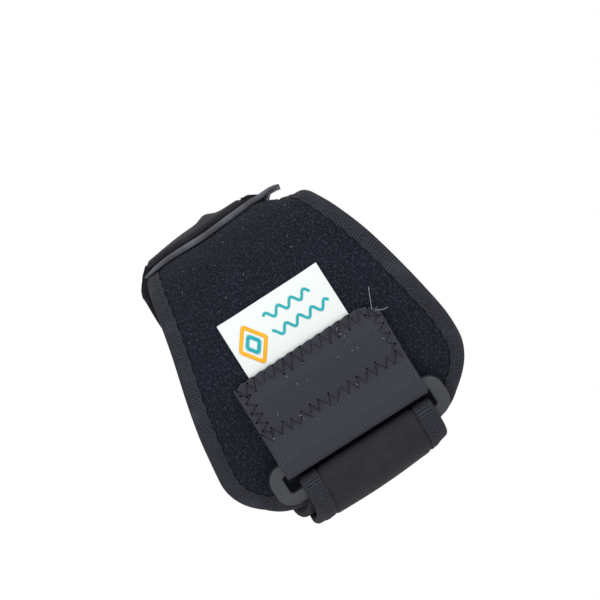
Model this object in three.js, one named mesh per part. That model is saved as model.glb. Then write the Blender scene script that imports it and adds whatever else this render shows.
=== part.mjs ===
// A tennis elbow strap, closed into the loop it is worn as: a fan-shaped foam pad with a bound rim, an
// elastic that holds a plastic ring, a soft strap that runs round the back, turns back through the ring and
// fastens on top of the pad with a hook tab, and a sewn label.
// Millimetres, +Z up. The loop's hollow runs along X, wider towards +X, and the label faces -Y.
import * as THREE from "three";

// The loop's hollow: a cone that meets a flat front plane and a flat back, drawn to a fold below the ring.
const LOOP_RADIUS = 39.5;
const LOOP_TAPER = 0.05; // growth of the radius for each millimetre along X
const FRONT_LEAN = THREE.MathUtils.degToRad(22); // the front plane leans back from the vertical
const FRONT_RUN = 39; // flat run from the cone's tangent line down to the fold
const FOLD_RADIUS = 8; // inside radius of the fold below the ring
const SETTLE = 3.9; // how far the layers sink over the top, on the wide side
const SETTLE_FROM = 62; // station where they start to sink
const SETTLE_TO = 160; // and where they are back on the cone
const SETTLE_SIDE = 9; // place across from which they sink towards the wide side
const SETTLE_REACH = 27; // and the width over which they do
const SWELL = 1.1; // how far the layers rise over the top, apart from the wide side
const SWELL_AT = 80; // station where they rise most
const SWELL_LENGTH = 28; // and how far the rise reaches
const SWELL_SIDE = 14; // place across from which the rise fades towards the wide side

// Clearances between pieces.
const LAYER_GAP = 0.3;
const RING_GAP = 0.6;
const STRAP_SLACK = 0.4; // how loosely the strap's second layer lies on its first
const RIM_CLEAR = 0.5; // squeezed foam reaches this far past the binding on it
const RIM_SLACK = 0.12; // room in the pad's binding where its facets cut across a tight curve

// The pad.
const PAD_THICKNESS = 4.2;
const PAD_RIM = 2.2; // foam squeezed inside the binding
const PAD_WIDEST = 103.5;
const PAD_NARROWEST = 60.5;
const PAD_TAIL = 50; // from the tangent line down to the ring end
const PAD_REACH = 112; // from the tangent line up and over to the narrow end
const PAD_WIDEST_AT = 21; // how far below the tangent line the pad is widest
const PAD_CENTRE = 2.8;
const PAD_DRIFT = 5.3; // the narrow end lies this far towards -X from the middle
const PAD_SWING = 2.9; // and the ring end this far
const PAD_FLAT_END = 16; // straight stretch of the ring end's edge
const PAD_CORNER = 12; // corner radius of the narrow end
const PAD_SLOPE = 1.5; // width in which the foam rises to its full thickness
const PAD_COLUMNS = 4; // quads across the pad's body

// Binding tapes, each folded round an edge.
const PAD_TAPE = 0.8;
const PAD_TAPE_DEPTH = 6;
const STRAP_TAPE = 0.5;
const STRAP_TAPE_DEPTH = 7.8;

// The strap and its hook tab.
const STRAP_WIDTH = 59;
const STRAP_THICKNESS = 2.6;
const STRAP_RIM = 1.2;
const STRAP_SEWN = 18; // overlap sewn on the pad's narrow end
const STRAP_STEP = 14; // length in which a layer steps up or down at an end of the pad
const STRAP_CLEAR = 2; // distance from an end of the pad to such a step
const STRAP_SLOPE = 0.8; // width in which the strap's foam rises to its full thickness
const STRAP_END = 75.5; // station of the free end
const STRAP_FIRST_CENTRE = -4.5; // place across of the first layer
const STRAP_RING_CENTRE = 2.8; // of the turn round the ring
const STRAP_FOLD_CENTRE = -0.2; // of the second layer at the fold
const STRAP_END_CENTRE = -9.8; // and of the free end
const STRAP_SWAY = 1.4; // how far the second layer strays to the narrow side behind the top
const STRAP_DROOP = 2.5; // how far the second layer's edge sags over the first at the fold
const STRAP_GATHER = 0.045; // share of its width that the strap loses in the ring
const TAB_THICKNESS = 2.3;
const TAB_WIDTH = 61.5;
const TAB_THINNING = 0.45; // share of its thickness that the tab loses at its sides
const TAB_CENTRE = -3.7;
const TAB_SHOWN = 3; // how far the tab stands out past the strap's free end
const TAB_CORNER = 2.2;
const TAB_CLEAR = 1; // from the tab's back edge to the strap's sewn end
const TAB_LIFT = 2.8; // how far the tab's wide-side corner stands off the pad

// The strap's second layer also buckles where it comes over the top: each fold's place and size.
const BUCKLES = [
  { station: 0.5, across: 0.112, rise: 0.85, reach: 0.08 },
  { station: 0.5, across: 0, rise: 1, reach: 0.22 },
];
const BUCKLE_HEIGHT = 2.4;
const BUCKLE_LENGTH = 40; // how far from the free end the folds reach

// The ring and the elastic that holds it.
const RING_BAR = 4.65;
const RING_SIDE = 5.5; // width of the ring's two ends
const RING_SLOT = 8;
const RING_INSIDE = 62.5;
const RING_THICKNESS = 2.8;
const RING_EDGE = 0.8; // rounding of the ring's edges
const RING_CORNER = 6.5;
const RING_CENTRE = 1.3;
const RING_ABOVE_FOLD = 14.8; // from the ring's upper edge down to the fold
const RING_AT = FRONT_RUN - RING_ABOVE_FOLD; // from the tangent line down to the ring's upper edge
const ELASTIC_WIDTH = 60.5;
const ELASTIC_THICKNESS = 1.3;
const ELASTIC_TOP = 8.5; // station of the elastic's sewn edge
const ELASTIC_SEWN = 24; // length sewn to the pad
const ELASTIC_SKEW = 0.8; // the sewn edge lies this far towards the wide side
const ELASTIC_CENTRE = 1.8;

// The label.
const LABEL_WIDTH = 42.8;
const LABEL_TOP = 28.1;
const LABEL_TUCK = 5.2; // tucked under the elastic
const LABEL_THICKNESS = 0.5;
const LABEL_STEP = 3; // length in which the elastic comes down off the label
const LABEL_CLEAR = 1; // from the label down to the elastic's lower layer
const LABEL_CENTRE = 1.1;

// Heights above the hollow's wall, worked out from the layers below.
const padMiddle = PAD_THICKNESS / 2;
const padTapeHalf = PAD_RIM / 2 + LAYER_GAP + PAD_TAPE;
const strapHalf = Math.max(STRAP_THICKNESS, STRAP_RIM + 2 * (LAYER_GAP + STRAP_TAPE)) / 2;
const overPad = padMiddle + Math.max(padTapeHalf, PAD_THICKNESS / 2) + LAYER_GAP;
const ringMiddle = overPad + 2 * strapHalf + RING_GAP + RING_THICKNESS / 2;
const strapTurn = RING_THICKNESS / 2 + RING_GAP + strapHalf; // radius of the strap's turn
const elasticTurn = RING_THICKNESS / 2 + RING_GAP + ELASTIC_THICKNESS / 2;
const strapPitch = 2 * strapHalf + LAYER_GAP + STRAP_SLACK; // from one layer's middle to the next

// The loop: stations run from the tangent line (0) up over the top, down the back, round the fold and
// up the front plane again, so that negative stations lie on the front plane.
const wrapAngle = (radius) => Math.PI + 2 * Math.atan((radius - FOLD_RADIUS) / FRONT_RUN);
const bigArc = LOOP_RADIUS * wrapAngle(LOOP_RADIUS);
const foldArc = FOLD_RADIUS * (2 * Math.PI - wrapAngle(LOOP_RADIUS));
const loopLength = bigArc + 2 * FRONT_RUN + foldArc;
const FRONT_OUT = new THREE.Vector2(-Math.cos(FRONT_LEAN), -Math.sin(FRONT_LEAN)); // y and z
const FRONT_DOWN = new THREE.Vector2(Math.sin(FRONT_LEAN), -Math.cos(FRONT_LEAN));
const TANGENT_LINE = FRONT_OUT.clone().multiplyScalar(LOOP_RADIUS);

// Rises smoothly from 0 to 1 between two values.
const ramp = (value, from, to) => THREE.MathUtils.smoothstep(value, from, to);
const share = (value, from, to) => THREE.MathUtils.clamp((value - from) / (to - from), 0, 1);
const bump = (value, middle, reach) => Math.exp(-(((value - middle) / reach) ** 2));
const mix = THREE.MathUtils.lerp;

// How far the layers sink where the hollow is less than a full cone, less how far they rise beside that.
function settled(station, x) {
  const along = ramp(station, SETTLE_FROM, SETTLE_FROM + STRAP_STEP);
  const after = 1 - ramp(station, PAD_REACH + STRAP_STEP, SETTLE_TO);
  const sunk = SETTLE * along * after * ramp(x, SETTLE_SIDE, SETTLE_SIDE + SETTLE_REACH);
  const rise = SWELL * (1 - ramp(x, SWELL_SIDE, SWELL_SIDE + 10));
  return sunk - rise * bump(station, SWELL_AT, SWELL_LENGTH);
}

// The point at a station, a height above the hollow's wall and a place x across.
function loopPoint(station, above, x) {
  const height = above - settled(station, x);
  const radius = LOOP_RADIUS + LOOP_TAPER * x;
  const wrap = wrapAngle(radius);
  const outward = (turn) => FRONT_OUT.clone().rotateAround(new THREE.Vector2(), -turn);
  const cone = TANGENT_LINE.clone().addScaledVector(FRONT_OUT, -radius);
  const fold = TANGENT_LINE.clone().addScaledVector(FRONT_DOWN, FRONT_RUN);
  fold.addScaledVector(FRONT_OUT, -FOLD_RADIUS);
  const s = THREE.MathUtils.euclideanModulo(station, loopLength);
  let point;
  if (s <= bigArc) {
    point = cone.addScaledVector(outward((s / bigArc) * wrap), radius + height);
  } else if (s <= bigArc + FRONT_RUN) {
    const out = outward(wrap);
    const along = new THREE.Vector2(out.y, -out.x);
    point = cone.addScaledVector(out, radius + height).addScaledVector(along, s - bigArc);
  } else if (s <= loopLength - FRONT_RUN) {
    const turned = (s - bigArc - FRONT_RUN) / foldArc;
    const turn = wrap + turned * (2 * Math.PI - wrap);
    point = fold.addScaledVector(outward(turn), FOLD_RADIUS + height);
  } else {
    point = TANGENT_LINE.clone().addScaledVector(FRONT_DOWN, loopLength - s);
    point.addScaledVector(FRONT_OUT, height);
  }
  return new THREE.Vector3(x, point.x, point.y);
}

// Evenly spaced values from a table of spans.
function spaced(spans) {
  const values = [spans[0].from];
  for (const { from, to, steps } of spans) {
    for (let i = 1; i <= steps; i++) values.push(mix(from, to, i / steps));
  }
  return values;
}

function meshGeometry(points, triangles) {
  const geometry = new THREE.BufferGeometry().setFromPoints(points);
  geometry.setIndex(triangles);
  geometry.computeVertexNormals();
  return geometry;
}

// A closed sheet from a grid of middle points: faces(i, j) gives the point on the outer and the inner face.
function sheetGeometry(rows, columns, faces) {
  const points = [];
  for (let i = 0; i < rows; i++) {
    for (let j = 0; j < columns; j++) points.push(...faces(i, j));
  }
  const outer = (i, j) => 2 * (i * columns + j);
  const inner = (i, j) => outer(i, j) + 1;
  const triangles = [];
  const quad = (a, b, c, d) => triangles.push(a, b, c, a, c, d);
  for (let i = 0; i + 1 < rows; i++) {
    for (let j = 0; j + 1 < columns; j++) {
      quad(outer(i, j), outer(i, j + 1), outer(i + 1, j + 1), outer(i + 1, j));
      quad(inner(i, j), inner(i + 1, j), inner(i + 1, j + 1), inner(i, j + 1));
    }
    quad(outer(i, 0), outer(i + 1, 0), inner(i + 1, 0), inner(i, 0));
    const last = columns - 1;
    quad(outer(i, last), inner(i, last), inner(i + 1, last), outer(i + 1, last));
  }
  for (let j = 0; j + 1 < columns; j++) {
    quad(outer(0, j), inner(0, j), inner(0, j + 1), outer(0, j + 1));
    const last = rows - 1;
    quad(outer(last, j), outer(last, j + 1), inner(last, j + 1), inner(last, j));
  }
  return meshGeometry(points, triangles);
}

// A section of corners swept through rows of points, closed into a ring or capped at both ends.
function sweptGeometry(rows, section, place, ring) {
  const corners = section.length;
  const points = [];
  for (let i = 0; i < rows; i++) {
    for (const corner of section) points.push(place(i, corner));
  }
  const triangles = [];
  for (let i = 0; i < (ring ? rows : rows - 1); i++) {
    const next = (i + 1) % rows;
    for (let j = 0; j < corners; j++) {
      const k = (j + 1) % corners;
      const [a, b, c, d] = [i * corners + j, i * corners + k, next * corners + k, next * corners + j];
      triangles.push(a, b, c, a, c, d);
    }
  }
  if (!ring) {
    const last = (rows - 1) * corners;
    const clockwise = THREE.ShapeUtils.isClockWise(section);
    for (const [a, b, c] of THREE.ShapeUtils.triangulateShape(section, [])) {
      const [d, e] = clockwise ? [c, a] : [a, c];
      triangles.push(e, b, d, last + d, last + b, last + e);
    }
  }
  return meshGeometry(points, triangles);
}

// A tape folded round an edge: corners (x inwards from the edge, y across the thickness), counterclockwise.
// Its two legs get a corner halfway where they have to bend with a tight curve.
function foldedTapeSection(rim, tape, depth, halfway) {
  const inside = rim / 2 + LAYER_GAP;
  const outside = inside + tape;
  const mids = halfway ? [depth / 2] : [];
  const leg = (height, from, to) => [from, ...mids, to].map((x) => [x, height]);
  return [
    ...leg(-inside, depth, -LAYER_GAP),
    ...leg(inside, -LAYER_GAP, depth),
    ...leg(outside, depth, -LAYER_GAP - tape),
    ...leg(-outside, -LAYER_GAP - tape, depth),
  ].map(([x, y]) => new THREE.Vector2(x, y));
}

// The pad's finished outline, binding included, as points with the station in x and the place across in y.
// Its first and last runs of points cross the two ends, so that each side's points face each other.
function padOutline() {
  const wide = PAD_WIDEST / 2;
  const narrow = PAD_NARROWEST / 2;
  const flat = PAD_FLAT_END / 2;
  const taper = PAD_REACH - PAD_CORNER;
  const tail = PAD_TAIL - PAD_WIDEST_AT;
  const belly = new THREE.EllipseCurve(-PAD_WIDEST_AT, flat, tail, wide - flat, Math.PI, Math.PI / 2, true);
  const flank = new THREE.CubicBezierCurve(
    new THREE.Vector2(-PAD_WIDEST_AT, wide),
    new THREE.Vector2(taper * 0.14, wide * 0.96),
    new THREE.Vector2(taper * 0.45, narrow * 1.045),
    new THREE.Vector2(taper, narrow),
  );
  const inside = narrow - PAD_CORNER;
  const corner = new THREE.EllipseCurve(taper, inside, PAD_CORNER, PAD_CORNER, Math.PI / 2, 0, true);
  const side = [...belly.getPoints(10), ...flank.getPoints(17).slice(1), ...corner.getPoints(5).slice(1)];
  const mirrored = side.map((p) => new THREE.Vector2(p.x, -p.y)).reverse();
  const across = (from, to) => [1, 2, 3].map((step) => from.clone().lerp(to, step / PAD_COLUMNS));
  return [...side, ...across(side.at(-1), mirrored[0]), ...mirrored, ...across(mirrored.at(-1), side[0])];
}

// The same outline shrunk by an inset.
function shrunk(outline, inset) {
  const count = outline.length;
  return outline.map((point, i) => {
    const along = outline[(i + 1) % count].clone().sub(outline[(i + count - 1) % count]).normalize();
    return new THREE.Vector2(point.x + along.y * inset, point.y - along.x * inset);
  });
}

// The pad's middle strays to one side towards both of its ends.
function padCentre(station) {
  const up = ramp(station, PAD_REACH * 0.2, PAD_REACH * 0.7);
  const down = ramp(-station, -PAD_TAIL * 0.16, PAD_TAIL * 0.92);
  return PAD_CENTRE - PAD_DRIFT * up - PAD_SWING * down;
}

const padPoint = (point, height) => loopPoint(point.x, height, padCentre(point.x) + point.y);

// The foam pad: full thickness inside, squeezed thin where the binding holds it.
function padGeometry(outline) {
  const rimHalf = PAD_RIM / 2 - RIM_SLACK;
  const rings = [
    { points: shrunk(outline, PAD_TAPE + LAYER_GAP), half: rimHalf },
    { points: shrunk(outline, (PAD_TAPE + LAYER_GAP + PAD_TAPE_DEPTH) / 2), half: rimHalf },
    { points: shrunk(outline, PAD_TAPE_DEPTH + RIM_CLEAR), half: rimHalf },
    { points: shrunk(outline, PAD_TAPE_DEPTH + RIM_CLEAR + PAD_SLOPE), half: PAD_THICKNESS / 2 },
  ];
  const count = outline.length;
  const rows = count / 2 - PAD_COLUMNS + 1;
  const vertices = [];
  const triangles = [];
  const quad = (a, b, c, d) => triangles.push(a, b, c, a, c, d);
  for (const face of [1, -1]) {
    for (const { points, half } of rings) {
      vertices.push(...points.map((p) => padPoint(p, padMiddle + face * half)));
    }
    // The inside of the innermost ring is a grid between its two sides.
    const first = face > 0 ? 0 : vertices.length - rings.length * count;
    const body = rings.at(-1).points;
    const corner = (row, column) => {
      if (column === 0) return row;
      if (column === PAD_COLUMNS) return 2 * rows + PAD_COLUMNS - 2 - row;
      if (row === rows - 1) return rows - 1 + column;
      return row === 0 ? count - column : null;
    };
    const grid = [];
    for (let row = 0; row < rows; row++) {
      grid.push([]);
      for (let column = 0; column <= PAD_COLUMNS; column++) {
        const known = corner(row, column);
        if (known !== null) {
          grid[row].push(first + (rings.length - 1) * count + known);
          continue;
        }
        const [left, right] = [body[corner(row, 0)], body[corner(row, PAD_COLUMNS)]];
        grid[row].push(vertices.length);
        const spot = left.clone().lerp(right, column / PAD_COLUMNS);
        vertices.push(padPoint(spot, padMiddle + (face * PAD_THICKNESS) / 2));
      }
    }
    const side = (a, b, c, d) => (face > 0 ? quad(a, b, c, d) : quad(d, c, b, a));
    for (let row = 0; row + 1 < rows; row++) {
      for (let column = 0; column < PAD_COLUMNS; column++) {
        side(grid[row][column], grid[row + 1][column], grid[row + 1][column + 1], grid[row][column + 1]);
      }
    }
    for (let ring = 0; ring + 1 < rings.length; ring++) {
      for (let i = 0; i < count; i++) {
        const next = (i + 1) % count;
        const [outer, inner] = [first + ring * count, first + (ring + 1) * count];
        side(outer + i, outer + next, inner + next, inner + i);
      }
    }
  }
  const lower = vertices.length / 2;
  for (let i = 0; i < count; i++) {
    const next = (i + 1) % count;
    quad(i, lower + i, lower + next, next);
  }
  return meshGeometry(vertices, triangles);
}

function padBindingGeometry(outline) {
  const edge = shrunk(outline, PAD_TAPE + LAYER_GAP);
  const depth = PAD_TAPE_DEPTH - PAD_TAPE - LAYER_GAP;
  const section = foldedTapeSection(PAD_RIM, PAD_TAPE, depth, true);
  const count = edge.length;
  return sweptGeometry(count, section, (i, corner) => {
    const along = outline[(i + 1) % count].clone().sub(outline[(i + count - 1) % count]).normalize();
    const inwards = new THREE.Vector2(along.y, -along.x).multiplyScalar(corner.x);
    return padPoint(edge[i].clone().add(inwards), padMiddle + corner.y);
  }, true);
}

// Height of the strap's first layer: on the hollow's wall at the back, stepping over both ends of the pad.
function firstLayer(station) {
  const narrowEnd = PAD_REACH + STRAP_CLEAR;
  const stepped = 1 - ramp(station, narrowEnd, narrowEnd + STRAP_STEP);
  const ringEnd = loopLength - PAD_TAIL - STRAP_CLEAR;
  return strapHalf + overPad * Math.max(stepped, ramp(station, ringEnd - STRAP_STEP, ringEnd));
}

function secondLayer(station, x) {
  const onTab = overPad + tabThickness(x) + LAYER_GAP + strapHalf;
  const onStrap = firstLayer(Math.max(station, PAD_REACH - STRAP_SEWN)) + strapPitch;
  const tabStart = PAD_REACH - STRAP_SEWN - LAYER_GAP;
  let height = mix(onTab, onStrap, ramp(station, tabStart - STRAP_STEP / 2, tabStart));
  for (const { station: at, across, rise, reach } of BUCKLES) {
    const along = bump(station, STRAP_END + at * BUCKLE_LENGTH * 0.5, BUCKLE_LENGTH * 0.25);
    const near = bump(x - STRAP_END_CENTRE, across * STRAP_WIDTH, reach * STRAP_WIDTH);
    height += BUCKLE_HEIGHT * rise * along * near;
  }
  return height + endLift(station, x);
}

// The tab is pressed thinner towards its two sides.
function tabThickness(x) {
  const across = THREE.MathUtils.clamp((2 * (x - TAB_CENTRE)) / TAB_WIDTH, -1, 1);
  return TAB_THICKNESS * (1 - TAB_THINNING * across ** 4);
}

// The free end stands off the pad at its wide-side corner.
function endLift(station, x) {
  const near = 1 - ramp(station, STRAP_END - TAB_SHOWN, STRAP_END + STRAP_STEP / 2);
  return TAB_LIFT * near * ramp(x, TAB_CENTRE + TAB_WIDTH * 0.25, TAB_CENTRE + TAB_WIDTH * 0.5);
}

// The strap's route: each row has a station, a height for a place x, and how far the strap has come
// towards the ring (0 to 1) and past it (0 to 1).
function strapRoute() {
  const turnAt = RING_AT + RING_BAR + RING_SLOT + RING_THICKNESS / 2;
  const start = PAD_REACH - STRAP_SEWN;
  const foldEnd = loopLength - FRONT_RUN;
  const foldStart = foldEnd - foldArc;
  const narrowEnd = PAD_REACH + STRAP_CLEAR;
  const stepDown = PAD_REACH + STRAP_CLEAR / 2 + STRAP_STEP;
  const first = spaced([
    { from: start, to: narrowEnd, steps: 3 },
    { from: narrowEnd, to: narrowEnd + STRAP_STEP, steps: 5 },
    { from: narrowEnd + STRAP_STEP, to: bigArc, steps: 8 },
    { from: bigArc, to: foldStart - STRAP_STEP, steps: 2 },
    { from: foldStart - STRAP_STEP, to: foldStart, steps: 5 },
    { from: foldStart, to: foldEnd, steps: 6 },
    { from: foldEnd, to: loopLength - turnAt, steps: 1 },
  ]);
  const rows = first.map((station) => ({
    station,
    height: () => firstLayer(station),
    towardsRing: (station - start) / (loopLength - turnAt - start),
    past: 0,
  }));
  const turnSteps = 8;
  for (let i = 1; i < turnSteps; i++) {
    const angle = (i / turnSteps) * Math.PI;
    const station = loopLength - turnAt + strapTurn * Math.sin(angle);
    const height = ringMiddle - strapTurn * Math.cos(angle);
    rows.push({ station, height: () => height, towardsRing: 1, past: 0 });
  }
  const high = ringMiddle + strapTurn;
  const second = spaced([
    { from: loopLength - turnAt, to: foldEnd, steps: 2 },
    { from: foldEnd, to: foldStart, steps: 8 },
    { from: foldStart, to: foldStart - STRAP_STEP, steps: 4 },
    { from: foldStart - STRAP_STEP, to: bigArc, steps: 2 },
    { from: bigArc, to: stepDown, steps: 9 },
    { from: stepDown, to: PAD_REACH - STRAP_SEWN, steps: 8 },
    { from: PAD_REACH - STRAP_SEWN, to: STRAP_END, steps: 7 },
  ]);
  for (const station of second) {
    const offRing = ramp(station, foldStart, foldEnd);
    const sag = STRAP_DROOP * (1 - offRing) * bump(station, foldStart, foldArc);
    const edge = STRAP_FOLD_CENTRE + STRAP_WIDTH / 2;
    const sagged = (x) => sag * share(x, edge - STRAP_TAPE_DEPTH, edge) ** 1.5;
    rows.push({
      station,
      height: (x) => mix(secondLayer(station, x), high, offRing) - sagged(x),
      towardsRing: 1,
      past: (loopLength - turnAt - station) / (loopLength - turnAt - STRAP_END),
    });
  }
  return rows;
}

// Where the strap lies along X, for a place across it.
function strapPlace(row, across) {
  const gathered = ramp(row.towardsRing, 0.88, 1) * (1 - ramp(row.past, 0, 0.12));
  const towards = mix(STRAP_FIRST_CENTRE, STRAP_RING_CENTRE, ramp(row.towardsRing, 0.86, 1));
  const folded = mix(towards, STRAP_FOLD_CENTRE, ramp(row.past, 0, 0.11));
  const sway = STRAP_SWAY * bump(row.past, 0.8, 0.12);
  const centre = mix(folded, STRAP_END_CENTRE, ramp(row.past, 0.12, 0.66)) - sway;
  return centre + across * (1 - STRAP_GATHER * gathered);
}

// The point at a row of the route, a place across and an offset out of the strap's own surface.
function strapPoint(route, i, across, offset) {
  const x = strapPlace(route[i], across);
  const at = (k) => loopPoint(route[k].station, route[k].height(x), x);
  const back = at(Math.max(i - 1, 0));
  const ahead = at(Math.min(i + 1, route.length - 1));
  const along = ahead.sub(back).setX(0).normalize();
  return at(i).add(new THREE.Vector3(0, -along.z, along.y).multiplyScalar(offset));
}

function strapGeometry(route) {
  const edge = STRAP_WIDTH / 2 - STRAP_TAPE - LAYER_GAP;
  const rim = STRAP_WIDTH / 2 - STRAP_TAPE_DEPTH - RIM_CLEAR;
  const body = spaced([{ from: STRAP_SLOPE - rim, to: rim - STRAP_SLOPE, steps: 6 }]);
  const places = [-edge, -rim, ...body, rim, edge];
  return sheetGeometry(route.length, places.length, (i, j) => {
    const half = (Math.min(j, places.length - 1 - j) < 2 ? STRAP_RIM : STRAP_THICKNESS) / 2;
    return [strapPoint(route, i, places[j], half), strapPoint(route, i, places[j], -half)];
  });
}

function strapBindingGeometry(route, side) {
  const edge = STRAP_WIDTH / 2 - STRAP_TAPE - LAYER_GAP;
  const depth = STRAP_TAPE_DEPTH - STRAP_TAPE - LAYER_GAP;
  const section = foldedTapeSection(STRAP_RIM, STRAP_TAPE, depth, false);
  if (side < 0) section.reverse();
  return sweptGeometry(route.length, section, (i, corner) => {
    return strapPoint(route, i, side * (edge - corner.x), corner.y);
  }, false);
}

// The hook tab under the strap's free end, with cut corners on its shown edge.
function hookTabGeometry() {
  const start = STRAP_END - TAB_SHOWN;
  const end = PAD_REACH - STRAP_SEWN - LAYER_GAP - TAB_CLEAR;
  const stations = spaced([
    { from: start, to: start + TAB_CORNER, steps: 1 },
    { from: start + TAB_CORNER, to: end, steps: 5 },
  ]);
  const columns = 11;
  return sheetGeometry(stations.length, columns, (i, j) => {
    const width = TAB_WIDTH - (i === 0 ? 2 * TAB_CORNER : 0);
    const x = TAB_CENTRE + width * (j / (columns - 1) - 0.5);
    const low = overPad + endLift(stations[i], x);
    return [loopPoint(stations[i], low + tabThickness(x), x), loopPoint(stations[i], low, x)];
  });
}

// The elastic: sewn to the pad as two layers, parted by the ring's upper bar, which it goes round.
function elasticRoute() {
  const turnAt = RING_AT + RING_BAR - RING_THICKNESS / 2;
  const lower = overPad + ELASTIC_THICKNESS / 2;
  const upper = lower + ELASTIC_THICKNESS + LAYER_GAP;
  const onLabel = padMiddle * 2 + 2 * LAYER_GAP + LABEL_THICKNESS + ELASTIC_THICKNESS / 2;
  const tuck = ELASTIC_TOP - LABEL_TUCK;
  const offLabel = tuck - LABEL_STEP;
  const sewnEnd = ELASTIC_TOP - ELASTIC_SEWN;
  const barEdge = RING_AT - RING_GAP;
  const rows = [];
  for (const station of spaced([
    { from: ELASTIC_TOP, to: tuck, steps: 2 },
    { from: tuck, to: offLabel, steps: 2 },
    { from: offLabel, to: sewnEnd, steps: 2 },
    { from: sewnEnd, to: -barEdge, steps: 5 },
    { from: -barEdge, to: -turnAt, steps: 1 },
  ])) {
    const sewn = mix(Math.max(upper, onLabel), Math.min(upper, onLabel), ramp(station, offLabel, tuck));
    rows.push({ station, height: mix(sewn, ringMiddle + elasticTurn, ramp(-station, -sewnEnd, barEdge)) });
  }
  const turnSteps = 8;
  for (let i = 1; i < turnSteps; i++) {
    const angle = (i / turnSteps) * Math.PI;
    const station = -turnAt - elasticTurn * Math.sin(angle);
    rows.push({ station, height: ringMiddle + elasticTurn * Math.cos(angle) });
  }
  for (const station of spaced([
    { from: -turnAt, to: -barEdge, steps: 1 },
    { from: -barEdge, to: sewnEnd, steps: 4 },
    { from: sewnEnd, to: tuck - LABEL_CLEAR, steps: 2 },
  ])) {
    rows.push({ station, height: mix(lower, ringMiddle - elasticTurn, ramp(-station, -sewnEnd, barEdge)) });
  }
  return rows;
}

function elasticGeometry() {
  const rows = elasticRoute();
  const columns = 4;
  const lowest = Math.min(...rows.map((row) => row.station));
  return sheetGeometry(rows.length, columns, (i, j) => {
    const rise = (rows[i].station - lowest) / (ELASTIC_TOP - lowest);
    const x = ELASTIC_CENTRE + ELASTIC_SKEW * rise + ELASTIC_WIDTH * (j / (columns - 1) - 0.5);
    const at = (k) => loopPoint(rows[k].station, rows[k].height, x);
    const along = at(Math.min(i + 1, rows.length - 1)).sub(at(Math.max(i - 1, 0))).setX(0).normalize();
    const out = new THREE.Vector3(0, along.z, -along.y).multiplyScalar(ELASTIC_THICKNESS / 2);
    return [at(i).sub(out), at(i).add(out)];
  });
}

function labelGeometry() {
  const stations = spaced([{ from: ELASTIC_TOP - LABEL_TUCK, to: LABEL_TOP, steps: 5 }]);
  const columns = 4;
  const low = 2 * padMiddle + LAYER_GAP;
  return sheetGeometry(stations.length, columns, (i, j) => {
    const x = LABEL_CENTRE + LABEL_WIDTH * (j / (columns - 1) - 0.5);
    return [loopPoint(stations[i], low + LABEL_THICKNESS, x), loopPoint(stations[i], low, x)];
  });
}

// A rounded rectangle, as a shape or as a hole.
function roundedRectangle(path, width, height, corner) {
  const [w, h] = [width / 2, height / 2];
  path.moveTo(w, corner - h);
  path.lineTo(w, h - corner);
  path.absarc(w - corner, h - corner, corner, 0, Math.PI / 2);
  path.lineTo(corner - w, h);
  path.absarc(corner - w, h - corner, corner, Math.PI / 2, Math.PI);
  path.lineTo(-w, corner - h);
  path.absarc(corner - w, corner - h, corner, Math.PI, Math.PI * 1.5);
  path.lineTo(w - corner, -h);
  path.absarc(w - corner, corner - h, corner, Math.PI * 1.5, Math.PI * 2);
  return path;
}

// The ring lies in the front plane's own frame: y up the plane and z out of it.
function ringGeometry() {
  const height = 2 * RING_BAR + RING_SLOT;
  const outline = roundedRectangle(new THREE.Shape(), RING_INSIDE + 2 * RING_SIDE, height, RING_CORNER);
  outline.holes.push(roundedRectangle(new THREE.Path(), RING_INSIDE, RING_SLOT, RING_EDGE * 1.5));
  const geometry = new THREE.ExtrudeGeometry(outline, {
    depth: RING_THICKNESS - 2 * RING_EDGE,
    bevelThickness: RING_EDGE,
    bevelSize: RING_EDGE,
    bevelOffset: -RING_EDGE,
    bevelSegments: 2,
    curveSegments: 4,
  });
  const lowFace = ringMiddle - RING_THICKNESS / 2 + RING_EDGE;
  return geometry.translate(RING_CENTRE, -RING_AT - height / 2, lowFace);
}

const material = (color, roughness) => new THREE.MeshStandardMaterial({ color, roughness, metalness: 0 });
const loopPile = material("#1b1e26", 0.95);
const tape = material("#1f2126", 0.85);
const ribbedElastic = material("#2b2c31", 0.8);
const jersey = material("#26272c", 0.75);
const mouldedPlastic = material("#3e4048", 0.42);
const hookPlastic = material("#3c3f45", 0.5);
const wovenSatin = material("#eef1f0", 0.6);

function named(name, geometry, surface) {
  const mesh = new THREE.Mesh(geometry, surface);
  mesh.name = name;
  return mesh;
}

const outline = padOutline();
const route = strapRoute();

const strap = new THREE.Group();
strap.add(
  named("support_pad", padGeometry(outline), loopPile),
  named("pad_binding", padBindingGeometry(outline), tape),
  named("wrap_strap", strapGeometry(route), jersey),
  named("strap_binding_narrow", strapBindingGeometry(route, -1), tape),
  named("strap_binding_wide", strapBindingGeometry(route, 1), tape),
  named("hook_tab", hookTabGeometry(), hookPlastic),
  named("elastic_loop", elasticGeometry(), ribbedElastic),
  named("sewn_label", labelGeometry(), wovenSatin),
);

const frontPlane = new THREE.Group();
frontPlane.position.set(0, TANGENT_LINE.x, TANGENT_LINE.y);
frontPlane.rotation.x = Math.PI / 2 + FRONT_LEAN;
frontPlane.add(named("strap_ring", ringGeometry(), mouldedPlastic));
strap.add(frontPlane);

export default strap;
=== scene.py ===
# %% [markdown]
# A tennis elbow strap, drawn as it is sewn
# The real product is soft goods: a foam pad faced with loop fabric, a tape folded round its rim, an elastic
# that holds a plastic ring, and a strap that runs round the back, turns back through the ring and closes on
# top with a hook tab. The CAD model gives every layer its place. This file gives each layer its cloth: pile,
# ribs, folded edges, thread and wear. Lengths here are in millimetres until a mesh is made.

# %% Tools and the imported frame
import math

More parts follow.
